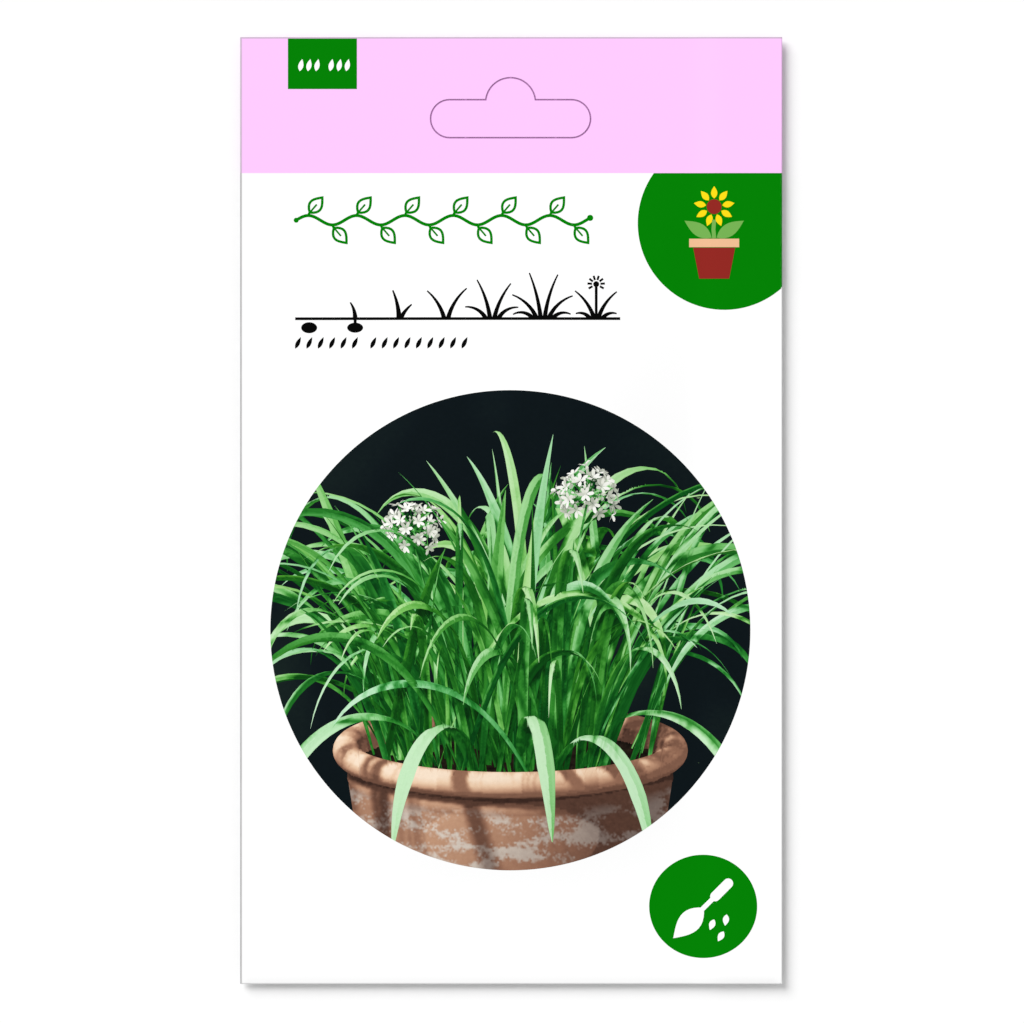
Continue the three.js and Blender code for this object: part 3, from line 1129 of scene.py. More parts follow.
@dataclass
class InkFilm:
    """One ink's flat shapes, cut out of a skin over the paper, so that they lie on it as a thin closed film.

    Attributes:
        name: The piece's name.
        ink: Its colour.
        packet: The packet that it lies on.
        side: Which panel it lies on.
        layer: How many inks lie under it.
        pitch: The cell of the skin.
        limits: The lowest and highest corner that the film may reach.
        stencil: The heights between which its shapes cut.
        shapes: Its shapes so far.
    """

    name: str
    ink: Ink
    packet: Packet
    side: Side = Side.FRONT
    layer: int = 0
    pitch: float = 1.6
    limits: tuple[float, float, float, float] = (-53.9, -94.0, 53.9, 94.7)
    stencil: tuple[float, float] = (-1.0, 6.0)
    shapes: list[Piece] = field(default_factory=list)

    def add(self, shape: Piece) -> None:
        """Adds a flat shape as an upright prism. On the back, it is laid out as someone reading the back sees it.

        Args:
            shape: The flat shape.
        """
        if self.side is Side.BACK:
            for point in shape.data.vertices:
                point.co.x = -point.co.x
        self.shapes.append(Bench.thicken(shape, *self.stencil))

    def disc(self, x: float, y: float, across: float, up: float | None = None, sides: int = 64) -> None:
        """Adds a disc or an ellipse.

        Args:
            x: Its middle, across.
            y: Its middle, up.
            across: Half its width.
            up: Half its height, if that is another.
            sides: Its number of edges.
        """
        up = up or across
        turns = [2 * math.pi * k / sides for k in range(sides)]
        self.add(Bench.outline("disc", [(x + across * math.cos(a), y + up * math.sin(a)) for a in turns]))

    def plate(self, *corners: Point) -> None:
        """Adds a flat plate by its corners, anticlockwise."""
        self.add(Bench.outline("plate", corners))

    def bar(self, left: float, bottom: float, right: float, top: float) -> None:
        """Adds an upright rectangle."""
        self.plate((left, bottom), (right, bottom), (right, top), (left, top))

    def line(self, path: Sequence[Point], width: float, closed: bool = False, taper: float = 0.0) -> None:
        """Adds a line along a path."""
        self.add(Strip("line", path, width, closed, taper).build())

    def petal(self, x: float, y: float, turn: float, length: float, width: float, sides: int = 9) -> None:
        """Adds a pointed leaf from its foot, turned so many degrees from the right."""
        self.add(Bench.outline("petal", petal_outline(x, y, turn, length, width, sides)))

    def rays(self, x: float, y: float, near: float, far: float, width: float, turns: Sequence[float]) -> None:
        """Adds short lines round a place, at these angles in radians."""
        for turn in turns:
            self.line([around(x, y, r, turn) for r in (near, far)], width)

    def lay(self) -> None:
        """Cuts the shapes out of the paper's skin."""
        cutter = Bench.join("stencil", self.shapes)
        corners = [v.co / MM for v in cutter.data.vertices]
        low_x, low_y = (max(self.limits[j], min(c[j] for c in corners) - 0.5) for j in range(2))
        high_x, high_y = (min(self.limits[j + 2], max(c[j] for c in corners) + 0.5) for j in range(2))
        columns, rows = (max(1, round(span / self.pitch)) for span in (high_x - low_x, high_y - low_y))
        p, sign = self.packet, self.side.value
        level = p.front if self.side is Side.FRONT else p.back
        over = p.paper / 2 + INK_RISE * (1 + self.layer)
        under = p.paper / 2 - INK_SINK

        def place(column: int, row: int) -> Vector:
            """The place of the point in that column and row of the film's outer face."""
            x, y = low_x + (high_x - low_x) * column / columns, low_y + (high_y - low_y) * row / rows
            return Vector((x, y, level(x, y) + sign * over))

        film = Bench.grid(self.name, columns, rows, place)
        Bench.raise_up(film, -sign * (over - under))
        Bench.cut(film, cutter, "INTERSECT")
        film.data.materials.clear()
        film.data.materials.append(self.ink.material())
        Bench.hand_over(film)


def petal_outline(x: float, y: float, turn: float, length: float, width: float, sides: int = 9) -> list[Point]:
    """The outline of a pointed leaf.

    Args:
        x: Its foot, across.
        y: Its foot, up.
        turn: Which way it points, in degrees from the right.
        length: From its foot to its tip.
        width: At its widest.
        sides: How many edges each side has.

    Returns:
        Its points, anticlockwise.
    """
    a = math.radians(turn)
    along, aside = (math.cos(a), math.sin(a)), (-math.sin(a), math.cos(a))
    out: list[Point] = []
    for side in (-1, 1):
        shares = [k / sides for k in range(sides)] if side < 0 else [1 - k / sides for k in range(sides)]
        for s in shares:
            half = side * width / 2 * math.sin(math.pi * s**0.85)
            out.append((x + along[0] * length * s + aside[0] * half, y + along[1] * length * s + aside[1] * half))
    return out


@dataclass
class PanelPrint:
    """The plain print on one panel."""

    packet: Packet
    side: Side = Side.FRONT

    def film(self, name: str, ink: Ink, layer: int = 0) -> InkFilm:
        """Starts a film on the panel."""
        return InkFilm(name, ink, self.packet, self.side, layer)


@dataclass
class FrontPrint(PanelPrint):
    """The plain print on the front: green plates, ornaments in thin lines and small pictures."""

    tab: tuple[float, float, float, float] = (-44.65, 84.34, -30.85, 94.45)
    badge: tuple[float, float, float] = (42.62, 57.47, 17.3)
    seal: tuple[float, float, float, float] = (38.4, -79.13, 10.8, 10.33)

    def code_tab(self) -> None:
        """The green tab at the top edge, with a row of small seeds in white."""
        plate = self.film("tab_plate", Ink.GREEN)
        plate.bar(*self.tab)
        plate.lay()
        seeds = self.film("tab_seeds", Ink.WHITE, 1)
        for k in range(6):
            x = -42.3 + 1.62 * k + (1.2 if k > 2 else 0)
            seeds.petal(x, 87.9, 78, 2.5, 1.05, 6)
        seeds.lay()

    def corner_badge(self) -> None:
        """The big green disc that runs off the right edge, with a flower in a pot."""
        x, y, radius = self.badge
        plate = self.film("badge_plate", Ink.GREEN)
        plate.limits = (-53.9, -94.0, self.packet.fold_x, self.packet.header_line)
        plate.disc(x, y, radius, sides=128)
        plate.lay()
        cx, bloom = 40.6, 60.8
        pot = self.film("badge_pot", Ink.RED, 1)
        pot.plate((cx - 3.0, 46.4), (cx + 3.0, 46.4), (cx + 4.2, 52.6), (cx - 4.2, 52.6))
        pot.disc(cx, bloom, 1.5, sides=24)
        pot.lay()
        rim = self.film("badge_rim", Ink.CLAY, 1)
        rim.bar(cx - 5.0, 52.7, cx + 5.0, 54.4)
        rim.lay()
        green = self.film("badge_leaves", Ink.LEAF, 1)
        green.line([(cx, 54.5), (cx - 0.15, 56.2), (cx, 58.2)], 0.8)
        green.petal(cx + 0.5, 54.6, 32, 6.4, 2.6)
        green.petal(cx - 0.5, 54.6, 148, 6.4, 2.6)
        green.lay()
        petals = self.film("badge_petals", Ink.YELLOW, 1)
        for turn in range(90, 450, 40):
            petals.petal(*around(cx, bloom, 1.62, math.radians(turn)), turn, 2.5, 1.3, 6)
        petals.lay()

    def vine(self) -> None:
        """A running vine in thin green lines."""
        film = self.film("vine_lines", Ink.GREEN)
        left, right, middle = -43.0, 17.6, 58.1
        count = 12
        step = (right - left - 2.6) / count

        def stem(x: float) -> float:
            """The stem's height there."""
            return middle + 0.95 * math.sin((x - left) * math.pi / step)

        film.line([(x, stem(x)) for x in np.linspace(left, right - 1.8, 96)], 0.62)
        film.disc(right - 1.8, stem(right - 1.8), 0.62, sides=16)
        film.disc(left, stem(left), 0.5, sides=16)
        for k in range(count):
            x = left + step * (k + 0.5)
            up = 1 if k % 2 == 0 else -1
            foot = stem(x)
            film.line([(x, foot), (x + 0.35, foot + up * 0.75)], 0.5)
            leaf = petal_outline(x + 0.3, foot + up * 0.6, up * 50, 3.9, 2.5, 9)
            film.line(leaf, 0.5, closed=True)
            film.line([(x + 0.45, foot + up * 0.75), (x + 1.7, foot + up * 2.2)], 0.36)
        film.lay()

    def growth_row(self) -> None:
        """A seed that grows into a clump and flowers, in thin black lines over the ground's line."""
        film = self.film("growth_lines", Ink.BLACK)
        ground = 38.4
        film.line([(-43.2, ground), (21.8, ground)], 0.55)

        def blade(x: float, turn: float, length: float, bend: float, width: float) -> None:
            """Draws one bending blade.

            Args:
                x: Where it stands.
                turn: Its direction at its foot, in degrees from the right.
                length: Its length.
                bend: How far it has turned by its tip, in degrees.
                width: Its width at its foot.
            """
            path, at, heading = [], Vector((x, ground + 0.05)), math.radians(turn)
            for k in range(9):
                path.append((at.x, at.y))
                at = at + Vector((math.cos(heading), math.sin(heading))) * length / 8
                heading += math.radians(bend) / 8
            film.line(path, width, taper=0.72)

        for x, tall in ((-40.4, 1.1), (-31.2, 1.0)):
            film.disc(x, 36.6, 1.6, tall, 24)
        blade(-31.2, 92, 3.4, 34, 1.0)
        film.line([(-31.2, 36.6), (-31.2, ground + 0.4)], 0.6)
        blade(-22.4, 94, 5.8, 20, 1.1)
        blade(-22.1, 62, 3.6, -24, 1.0)
        fans = (
            (-13.0, 0.8, ((106, 6.6, 36), (74, 7.2, -36))),
            (-3.8, 0.85, ((122, 5.0, 66), (99, 8.2, 22), (76, 7.8, -26), (58, 4.8, -66))),
            (6.3, 0.8, ((132, 4.4, 84), (115, 7.0, 48), (97, 9.4, 16), (82, 9.2, -20), (65, 6.8, -50), (48, 4.0, -80))),
            (17.0, 0.85, ((128, 3.2, 76), (109, 6.8, 36), (71, 6.6, -36), (52, 3.2, -76))),
        )
        for x, apart, blades in fans:
            for k, (turn, length, bend) in enumerate(blades):
                blade(x + apart * (k - (len(blades) - 1) / 2), turn, length, bend, 0.95)
        film.line([(17.0, ground), (17.0, 45.0)], 0.55)
        film.disc(17.0, 45.3, 0.6, sides=14)
        film.rays(17.0, 45.3, 0.85, 1.75, 0.42, [math.radians(-30 + 34.3 * k) for k in range(8)])
        film.lay()

    def seed_row(self) -> None:
        """A row of small slanted seeds."""
        film = self.film("seed_row", Ink.BLACK)
        for k in range(15):
            x = -43.2 + 2.28 * k + (1.4 if k > 5 else 0)
            film.petal(x, 32.4, 64, 2.6, 0.85, 5)
        film.lay()

    def sowing_seal(self) -> None:
        """The green oval at the foot, with a trowel and three seeds in white."""
        x, y, across, up = self.seal
        plate = self.film("seal_plate", Ink.GREEN)
        plate.disc(x, y, across, up, 96)
        plate.lay()
        white = self.film("seal_picture", Ink.WHITE, 1)
        white.line([(x + 2.4, y + 2.0), (x + 5.0, y + 4.6)], 2.0)
        white.disc(x + 2.4, y + 2.0, 1.0, sides=20)
        white.disc(x + 5.0, y + 4.6, 1.0, sides=20)
        white.line([(x - 0.6, y - 1.0), (x + 2.2, y + 1.8)], 0.95)
        white.petal(x + 0.1, y - 0.3, 225, 8.6, 4.4, 12)
        for across, down, turn in ((2.2, 2.6, 248), (4.7, 1.6, 262), (4.1, 5.0, 240)):
            white.petal(x + across, y - down, turn, 2.3, 1.25, 10)
        white.lay()

    def lay(self) -> None:
        """Lays every film of the front."""
        for part in (self.code_tab, self.corner_badge, self.vine, self.growth_row, self.seed_row, self.sowing_seal):
            part()


class Matter(Enum):
    """What a pictured thing is made of."""

    LEAF = 0
    PETAL = 1
    CLAY = 2
    SOIL = 3
    DARK = 4


@dataclass
class Scenery:
    """The pictured things as patches in space: x to the right, y up, z to the viewer, in millimetres.

    Attributes:
        points: The patches' corners.
        normals: The way out of the surface at each corner.
        marks: Two places within its thing for each corner, such as along a leaf and across it.
        patches: The corners of each patch.
        owners: The thing that each patch belongs to.
        kinds: What each thing is made of.
        tints: How warm each thing's colour is, and how much light comes through it.
        outlines: The lines where a thing may end or fold, each with its thing and a point just inside.
    """

    points: list[Vector] = field(default_factory=list)
    normals: list[Vector] = field(default_factory=list)
    marks: list[Point] = field(default_factory=list)
    patches: list[tuple[int, ...]] = field(default_factory=list)
    owners: list[int] = field(default_factory=list)
    kinds: list[Matter] = field(default_factory=list)
    tints: list[Point] = field(default_factory=list)
    outlines: list[tuple[int, Vector, Vector, Vector]] = field(default_factory=list)

    def thing(self, kind: Matter, tint: float = 0.5, glow: float = 1.0) -> int:
        """Starts a new thing.

        Args:
            kind: What it is made of.
            tint: How warm its colour is.
            glow: How much light comes through it.

        Returns:
            Its number.
        """
        self.kinds.append(kind)
        self.tints.append((tint, glow))
        return len(self.kinds) - 1

    def corner(self, at: Vector, normal: Vector, mark: Point = (0.0, 0.0)) -> int:
        """Adds a corner.

        Args:
            at: Its place.
            normal: The way out of the surface there.
            mark: Its place within its thing.

        Returns:
            Its number.
        """
        self.points.append(at)
        self.normals.append(normal)
        self.marks.append(mark)
        return len(self.points) - 1

    def patch(self, owner: int, *corners: int) -> None:
        """Adds a patch of a thing by its corners."""
        self.patches.append(corners)
        self.owners.append(owner)

    def centre(self, corners: Sequence[int]) -> Vector:
        """The middle of these corners."""
        return sum((self.points[k] for k in corners), Vector()) / len(corners)

    def faces_viewer(self, first: int, second: int, third: int) -> bool:
        """Whether these corners run anticlockwise to the viewer."""
        a, b, c = (self.points[k] for k in (first, second, third))
        return (b - a).cross(c - a).z > 0

    def outline(self, owner: int, start: int, end: int, inner: Vector) -> None:
        """Adds a line between two corners, beside a point inside the thing."""
        self.outlines.append((owner, self.points[start], self.points[end], inner))


@dataclass(frozen=True)
class Viewpoint:
    """How the pot's own space, z up and y away, is looked down on in the picture."""

    tilt: float = math.radians(12.0)
    rim: float = -21.5

    def turned(self, way: Vector) -> Vector:
        """A direction as the viewer sees it."""
        c, s = math.cos(self.tilt), math.sin(self.tilt)
        return Vector((way.x, way.z * c + way.y * s, way.z * s - way.y * c))

    def seen(self, at: Vector) -> Vector:
        """A point as the viewer sees it."""
        return self.turned(at) + Vector((0, self.rim, 0))

    def outward(self, way: Vector) -> Vector:
        """A surface's normal as the viewer sees it, on the side that faces the viewer."""
        n = self.turned(way).normalized()
        return -n if n.z < 0 else n


@dataclass(frozen=True)
class Strap:
    """One keeled strap that arches through the pot's space.

    Attributes:
        foot: Where it starts.
        away: The level direction that it leans to.
        pitch: Its slope at the foot, in degrees from level.
        bend: How far it bends over by its tip, in degrees.
        power: How late along it the bending comes.
        length: Its length.
        width: Its width by the share of its length.
        twist: Its turn about itself at the foot, in radians.
        curl: How much further it has turned by its tip.
        keel: How deep its fold is, as a share of its width.
        steps: Its number of patches.
    """

    foot: Vector
    away: Vector
    pitch: float
    bend: float
    power: float
    length: float
    width: Callable[[float], float]
    twist: float = 0.0
    curl: float = 0.0
    keel: float = 0.16
    steps: int = 24

    def lay(self, scenery: Scenery, view: Viewpoint, tint: float, glow: float) -> tuple[Vector, Vector]:
        """Adds the strap to the picture.

        Args:
            scenery: The picture's things.
            view: Where it is seen from.
            tint: How warm its green is.
            glow: How much light comes through it.

        Returns:
            Its tip, and its direction there, in the pot's space.
        """
        me = scenery.thing(Matter.LEAF, tint, glow)
        side = Vector((-self.away.y, self.away.x, 0))
        at = self.foot.copy()
        rows: list[tuple[int, ...]] = []
        for k in range(self.steps + 1):
            s = k / self.steps
            lean = math.radians(self.pitch - self.bend * s**self.power)
            along = self.away * math.cos(lean) + Vector((0, 0, 1)) * math.sin(lean)
            if k:
                at = at + along * (self.length / self.steps)
            swing = self.twist + self.curl * s
            flat = side * math.cos(swing) + along.cross(side) * math.sin(swing)
            up = flat.cross(along)
            half = flat * self.width(s) / 2
            lift = up * (self.keel * self.width(s))
            left = view.outward((up * self.keel - flat * 0.5).cross(along))
            right = view.outward((up * self.keel + flat * 0.5).cross(along))
            spots = ((at - half + lift, left, -1.0), (at, left, 0.0), (at, right, 0.0), (at + half + lift, right, 1.0))
            rows.append(tuple(scenery.corner(view.seen(spot), normal, (s, mark)) for spot, normal, mark in spots))
        self.trace(scenery, me, rows)
        return at, along

    def trace(self, scenery: Scenery, me: int, rows: Sequence[tuple[int, ...]]) -> None:
        """Adds the strap's patches, and the lines along its edges, its keel and its folds.

        Args:
            scenery: The picture's things.
            me: The strap's number.
            rows: The four corners of each step along it.
        """
        faced: dict[int, bool] = {}
        middle = Vector()
        for a, b in zip(rows, rows[1:]):
            middle = scenery.centre((a[1], b[1]))
            for j in (0, 1, 3):
                scenery.outline(me, a[j], b[j], middle)
            for i, j in ((0, 1), (2, 3)):
                corners = (a[i], a[j], b[j], b[i])
                scenery.patch(me, *corners)
                faces = scenery.faces_viewer(a[i], a[j], b[i])
                if faced.setdefault(i, faces) != faces:
                    scenery.outline(me, a[i], a[j], scenery.centre(corners))
                faced[i] = faces
        for i, j in ((0, 1), (2, 3)):
            scenery.outline(me, rows[-1][i], rows[-1][j], middle)


@dataclass
class PottedClump:
    """A made-up clump of strap leaves with two round flower heads, in a round clay pot.

    A petal is given by its corners, as shares of its length, half its width and its lift.
    """

    mouth: float = 35.5
    leaves: int = 235
    seed: int = 41
    petal: tuple[tuple[float, float, float], ...] = (
        (0, 0, 0), (0.42, 0.8, 0.5), (0.8, 0.75, 0.85), (1, 0, 1), (0.8, -0.75, 0.85), (0.42, -0.8, 0.5)
    )
    view: Viewpoint = field(default_factory=Viewpoint)
    scenery: Scenery = field(default_factory=Scenery)
    draw: random.Random = field(init=False)

    def __post_init__(self) -> None:
        """Seeds the draw."""
        self.draw = random.Random(self.seed)

    @staticmethod
    def level(heading: float) -> Vector:
        """The level direction at that angle, in radians."""
        return Vector((math.cos(heading), math.sin(heading), 0))

    def grow_leaf(self) -> None:
        """Grows one leaf anywhere in the pot: a third of them stand, the others arch over."""
        draw = self.draw
        out = math.sqrt(draw.random()) * self.mouth * 0.8
        turn = draw.uniform(0, 2 * math.pi)
        foot = self.level(turn) * out + Vector((0, 0, -4.0))
        away = self.level(turn + draw.gauss(0, 0.75))
        stands = draw.random() < 0.34
        length = draw.uniform(34, 66) if stands else draw.uniform(46, 90)
        pitch = draw.gauss(86 - 22 * out / self.mouth, 5)
        bend = draw.uniform(12, 55) if stands else draw.uniform(85, 170)
        power = draw.uniform(1.6, 2.8)
        full = draw.uniform(1.2, 3.0) * (0.8 + 0.2 * length / 90)

        def width(s: float) -> float:
            """The leaf's width at that share of its length."""
            return full * min(1.0, 0.62 + 1.9 * s) * (min(1.0, (1 - s) * 3.2) ** 0.8 * 0.97 + 0.03)

        twist, curl = draw.gauss(0, 0.45), draw.gauss(0, 0.9)
        leaf = Strap(foot, away, pitch, bend, power, length, width, twist, curl)
        leaf.lay(self.scenery, self.view, draw.random(), draw.uniform(0.4, 1.2))

    def spill_leaf(self, heading: float, length: float, full: float, twist: float) -> None:
        """Grows a long leaf that comes over the rim towards the viewer.

        Args:
            heading: The level direction that it leans to, in radians.
            length: Its length.
            full: Its width at its widest.
            twist: Its turn about itself at the foot, in radians.
        """
        draw = self.draw
        away = self.level(heading)
        foot = away * (self.mouth * 0.55) + Vector((0, 0, -3))

        def width(s: float) -> float:
            """The leaf's width at that share of its length."""
            return full * min(1.0, 0.7 + 1.6 * s) * (min(1.0, (1 - s) * 4) ** 0.7 * 0.95 + 0.05)

        pitch, bend, curl = draw.uniform(58, 74), draw.uniform(140, 152), draw.uniform(-0.3, 0.3)
        leaf = Strap(foot, away, pitch, bend, 0.95, length, width, twist, curl)
        leaf.lay(self.scenery, self.view, draw.uniform(0, 0.5), 0.5)

    def flower_head(self, x: float, top: float, depth: float, lean: float, size: float) -> None:
        """Grows a straight stalk with a round head of small six-petalled flowers.

        Args:
            x: How far from the middle it leans, across the picture.
            top: Its height in the picture.
            depth: How far back its foot is.
            lean: Its lean, in degrees.
            size: The head's size.
        """
        draw, scenery, view = self.draw, self.scenery, self.view
        foot = Vector((x * 0.4, depth, -4))
        away = self.level(0.0 if x > 0 else math.pi)
        length = top - view.rim + 4
        stalk = Strap(foot, away, 90 - lean, 6, 1.5, length, lambda s: 1.25 - 0.35 * s, 0, 0.3, 0.35)
        at, along = stalk.lay(scenery, view, 0.35, 0.3)
        count = int(34 * size)
        for k in range(count):
            z = 1 - 1.6 * (k + 0.5) / count
            ring = math.sqrt(1 - z * z)
            spin = k * GOLDEN_ANGLE
            out = (along * z + Vector((ring * math.cos(spin), ring * math.sin(spin), 0))).normalized()
            side = out.orthogonal().normalized()
            up = out.cross(side)
            tip = at + out * (5.4 * size * draw.uniform(0.86, 1.1))
            me = scenery.thing(Matter.LEAF, 0.4, 0.4)
            half = side * 0.16
            stem = (at - half, at + half, tip + half, tip - half)
            scenery.patch(me, *[scenery.corner(view.seen(p), view.outward(up)) for p in stem])
            me = scenery.thing(Matter.PETAL, draw.random(), 1.0)
            for petal in range(6):
                turn = petal * math.pi / 3 + draw.uniform(-0.12, 0.12) + k
                d = side * math.cos(turn) + up * math.sin(turn)
                aside = out.cross(d) * 0.42 * size
                long = d * 1.6 * size * draw.uniform(0.85, 1.1)
                lift = out * (0.45 if draw.random() < 0.8 else 1.2)
                shape = [tip + long * ahead + aside * off + lift * rise for ahead, off, rise in self.petal]
                n = view.outward((long.normalized() * 0.9 + lift).cross(aside))
                ids = [scenery.corner(view.seen(p), n, (min(j, 6 - j) / 3, 0)) for j, p in enumerate(shape)]
                scenery.patch(me, *ids)
                middle = scenery.centre(ids)
                for a, b in zip(ids, ids[1:] + ids[:1]):
                    scenery.outline(me, a, b, middle)

    def throw_pot(self) -> None:
        """Turns the pot's wall and rolled rim about its axis, and fills in the soil."""
        scenery, view, r = self.scenery, self.view, self.mouth
        turns = np.linspace(math.pi * 0.9, -math.pi * 0.5, 15)
        roll = [(r - 2.6 + 2.6 * math.cos(a), -2.6 + 2.6 * math.sin(a)) for a in turns]
        wall = [(3.4, -5.8), (3.0, -6.6), (2.9, -8.2), (3.3, -9.0), (3.2, -9.4), (4.2, -16), (5.8, -23), (8.4, -31)]
        profile = [(r - 5.5, -9.0), (r - 5.3, -5.0), *roll, *[(r - inset, z) for inset, z in wall], (r - 11.5, -40)]
        me = scenery.thing(Matter.CLAY)
        sides = 160
        rings: list[list[int]] = []
        for j, (radius, z) in enumerate(profile):
            before, after = profile[max(j - 1, 0)], profile[min(j + 1, len(profile) - 1)]
            out = Vector((before[1] - after[1], after[0] - before[0])).normalized()
            ring = []
            for k in range(sides):
                a = 2 * math.pi * k / sides
                way = self.level(a)
                normal = view.turned(way * out.x + Vector((0, 0, out.y)))
                ring.append(scenery.corner(view.seen(way * radius + Vector((0, 0, z))), normal, (a, z)))
            rings.append(ring)

        def quad(j: int, k: int) -> tuple[int, int, int, int]:
            """The corners of the patch after that place on that ring."""
            n = (k + 1) % sides
            return rings[j][k], rings[j][n], rings[j + 1][n], rings[j + 1][k]

        def faces(j: int, k: int) -> bool:
            """Whether that patch faces the viewer."""
            a, _, c, d = quad(j, k)
            return scenery.faces_viewer(a, d, c)

        for j in range(len(rings) - 1):
            for k in range(sides):
                corners = quad(j, k)
                scenery.patch(me, *corners)
                here, n = faces(j, k), (k + 1) % sides
                if here != faces(j, n):
                    scenery.outline(me, corners[1], corners[2], scenery.centre(quad(j, k if here else n)))
                if j + 2 < len(rings) and here != faces(j + 1, k):
                    scenery.outline(me, corners[3], corners[2], scenery.centre(quad(j if here else j + 1, k)))
        soil = scenery.thing(Matter.SOIL)
        scenery.patch(soil, *[scenery.corner(scenery.points[k], Vector((0, 0.97, 0.2))) for k in rings[1]])

    def compose(self) -> Scenery:
        """Throws the pot and grows the whole clump.

        Returns:
            The picture's things.
        """
        self.throw_pot()
        for _ in range(self.leaves):
            self.grow_leaf()
        spills = [(-1.95, 60, 3.4, 0.1), (-1.45, 66, 3.8, -0.15), (-1.1, 58, 3.2, 0.25)]
        for spill in [*spills, (-2.4, 62, 3.1, -0.3), (-0.75, 64, 3.4, 0.1)]:
            self.spill_leaf(*spill)
        self.flower_head(-26, 21, 4, 9, 1.0)
        self.flower_head(19, 27, 6, 6, 1.08)
        return self.scenery


class Tones:
    """A run of printed tones from dark to light."""

    def __init__(self, *stops: tuple[int, int, int]) -> None:
        """Keeps the tones, evenly spaced from 0 to 1, as an image shows them."""
        self.stops = stops

    def at(self, share: np.ndarray) -> np.ndarray:
        """The linear colours at these shares.

        Args:
            share: One share for each row, in a single column.

        Returns:
            Red, green and blue for each row.
        """
        places = np.linspace(0, 1, len(self.stops))
        bands = [np.interp(np.clip(share[:, 0], 0, 1), places, [stop[j] for stop in self.stops]) for j in range(3)]
        c = np.stack(bands, axis=1) / 255
        return np.where(c <= 0.04045, c / 12.92, ((c + 0.055) / 1.055) ** 2.4)


@dataclass(frozen=True)
class PictureTones:
    """The tones of each pictured stuff, from its deepest shade to its highlight."""

    cool: Tones = Tones((2, 20, 9), (8, 74, 22), (37, 127, 46), (93, 177, 101), (148, 210, 155), (194, 234, 199))
    lush: Tones = Tones((5, 24, 4), (21, 85, 10), (67, 142, 27), (131, 196, 66), (187, 226, 124), (216, 240, 172))
    petal: Tones = Tones((52, 62, 58), (112, 124, 108), (176, 182, 166), (228, 230, 218), (252, 252, 246))
    clay: Tones = Tones((40, 26, 22), (104, 72, 58), (152, 110, 88), (200, 156, 126), (236, 202, 170), (250, 228, 204))
    chalk: Tones = Tones(
        (52, 44, 44), (112, 98, 92), (160, 146, 136), (206, 196, 184), (234, 228, 218), (248, 244, 236)
    )
    soil: Tones = Tones((10, 8, 6), (30, 23, 17), (56, 44, 33))
    dark: Tones = Tones((8, 16, 19), (13, 22, 26), (23, 35, 33))

    @staticmethod
    def cloud(at: np.ndarray, across: float, up: float, depth: float) -> np.ndarray:
        """Smooth noise over the picture, from about -1 to 1, in a single column."""
        return np.array([noise.noise(Vector((x * across, y * up, depth))) for x, y in at])[:, None]

    def mix(self, seen: "Seen") -> np.ndarray:
        """Mixes the inks for everything that is seen.

        Args:
            seen: What is seen, with its light.

        Returns:
            The linear colour of every seen corner.
        """
        warm, glow = seen.tint[:, :1], seen.tint[:, 1:]
        front = np.maximum(seen.facing, 0)[:, None] * seen.sun[:, None]
        through = np.maximum(-seen.facing, 0)[:, None] * seen.sun[:, None]
        sky = seen.sky[:, None]
        across, along = seen.mark[:, 1:2], seen.mark[:, :1]
        height = np.clip((seen.space[:, 1:2] - Viewpoint().rim) / 40, 0, 1)
        veins = 0.03 * np.cos(across * 9.0) - 0.07 * np.clip(1 - abs(across) * 6, 0, 1)
        share = 0.10 + 0.28 * sky * (1.15 - 0.35 * height) + front**0.8 * (0.66 - 0.06 * height)
        share = share + 0.38 * through * glow + veins
        hue = np.clip(warm * 0.5 + 0.5 * through * glow, 0, 1)
        leaf = self.cool.at(share) * (1 - hue) + self.lush.at(share) * hue
        petal = self.petal.at(0.3 + 0.26 * sky + 0.55 * front + 0.22 * through - 0.14 * (along < 0.1))
        grain = (self.cloud(seen.at, 0.9, 1.4, 2) + self.cloud(seen.at, 3.1, 4.2, 7)) / 2
        patchy = self.cloud(seen.at, 0.16, 0.35, 9)
        share = 0.06 + 0.32 * sky + 0.70 * front + 0.05 * grain - 0.08 * (across < -5.6)
        chalk = np.clip((grain + patchy * 1.3 + 0.04) * 2.2, 0, 0.85) * np.clip((-across - 7.5) / 3, 0, 1)
        clay = self.clay.at(share) * (1 - chalk) + self.chalk.at(share + 0.1) * chalk
        soil = self.soil.at(0.3 + 0.4 * sky + 0.5 * grain)
        haze = np.maximum(self.cloud(seen.at, 0.055, 0.05, 4), 0)
        dark = self.dark.at(0.4 + 0.15 * grain + 0.9 * haze)
        out = np.zeros((len(seen.kind), 3))
        for kind, colours in zip(Matter, (leaf, petal, clay, soil, dark)):
            here = seen.kind == kind.value
            out[here] = colours[here]
        return np.clip(out * 0.89 - 0.0004, 0, 1)


@dataclass
class Seen:
    """What the viewer sees at each corner of the picture's mesh, one row for each.

    Attributes:
        at: Its place in the picture.
        space: The point seen there.
        normal: The way out of its surface.
        mark: Its place within its thing.
        kind: What the thing is made of.
        tint: The thing's tint and glow.
        facing: How squarely it faces the sun.
        sun: How much sun reaches it.
        sky: How much open sky reaches it.
    """

    at: np.ndarray
    space: np.ndarray
    normal: np.ndarray
    mark: np.ndarray
    kind: np.ndarray
    tint: np.ndarray
    facing: np.ndarray
    sun: np.ndarray
    sky: np.ndarray


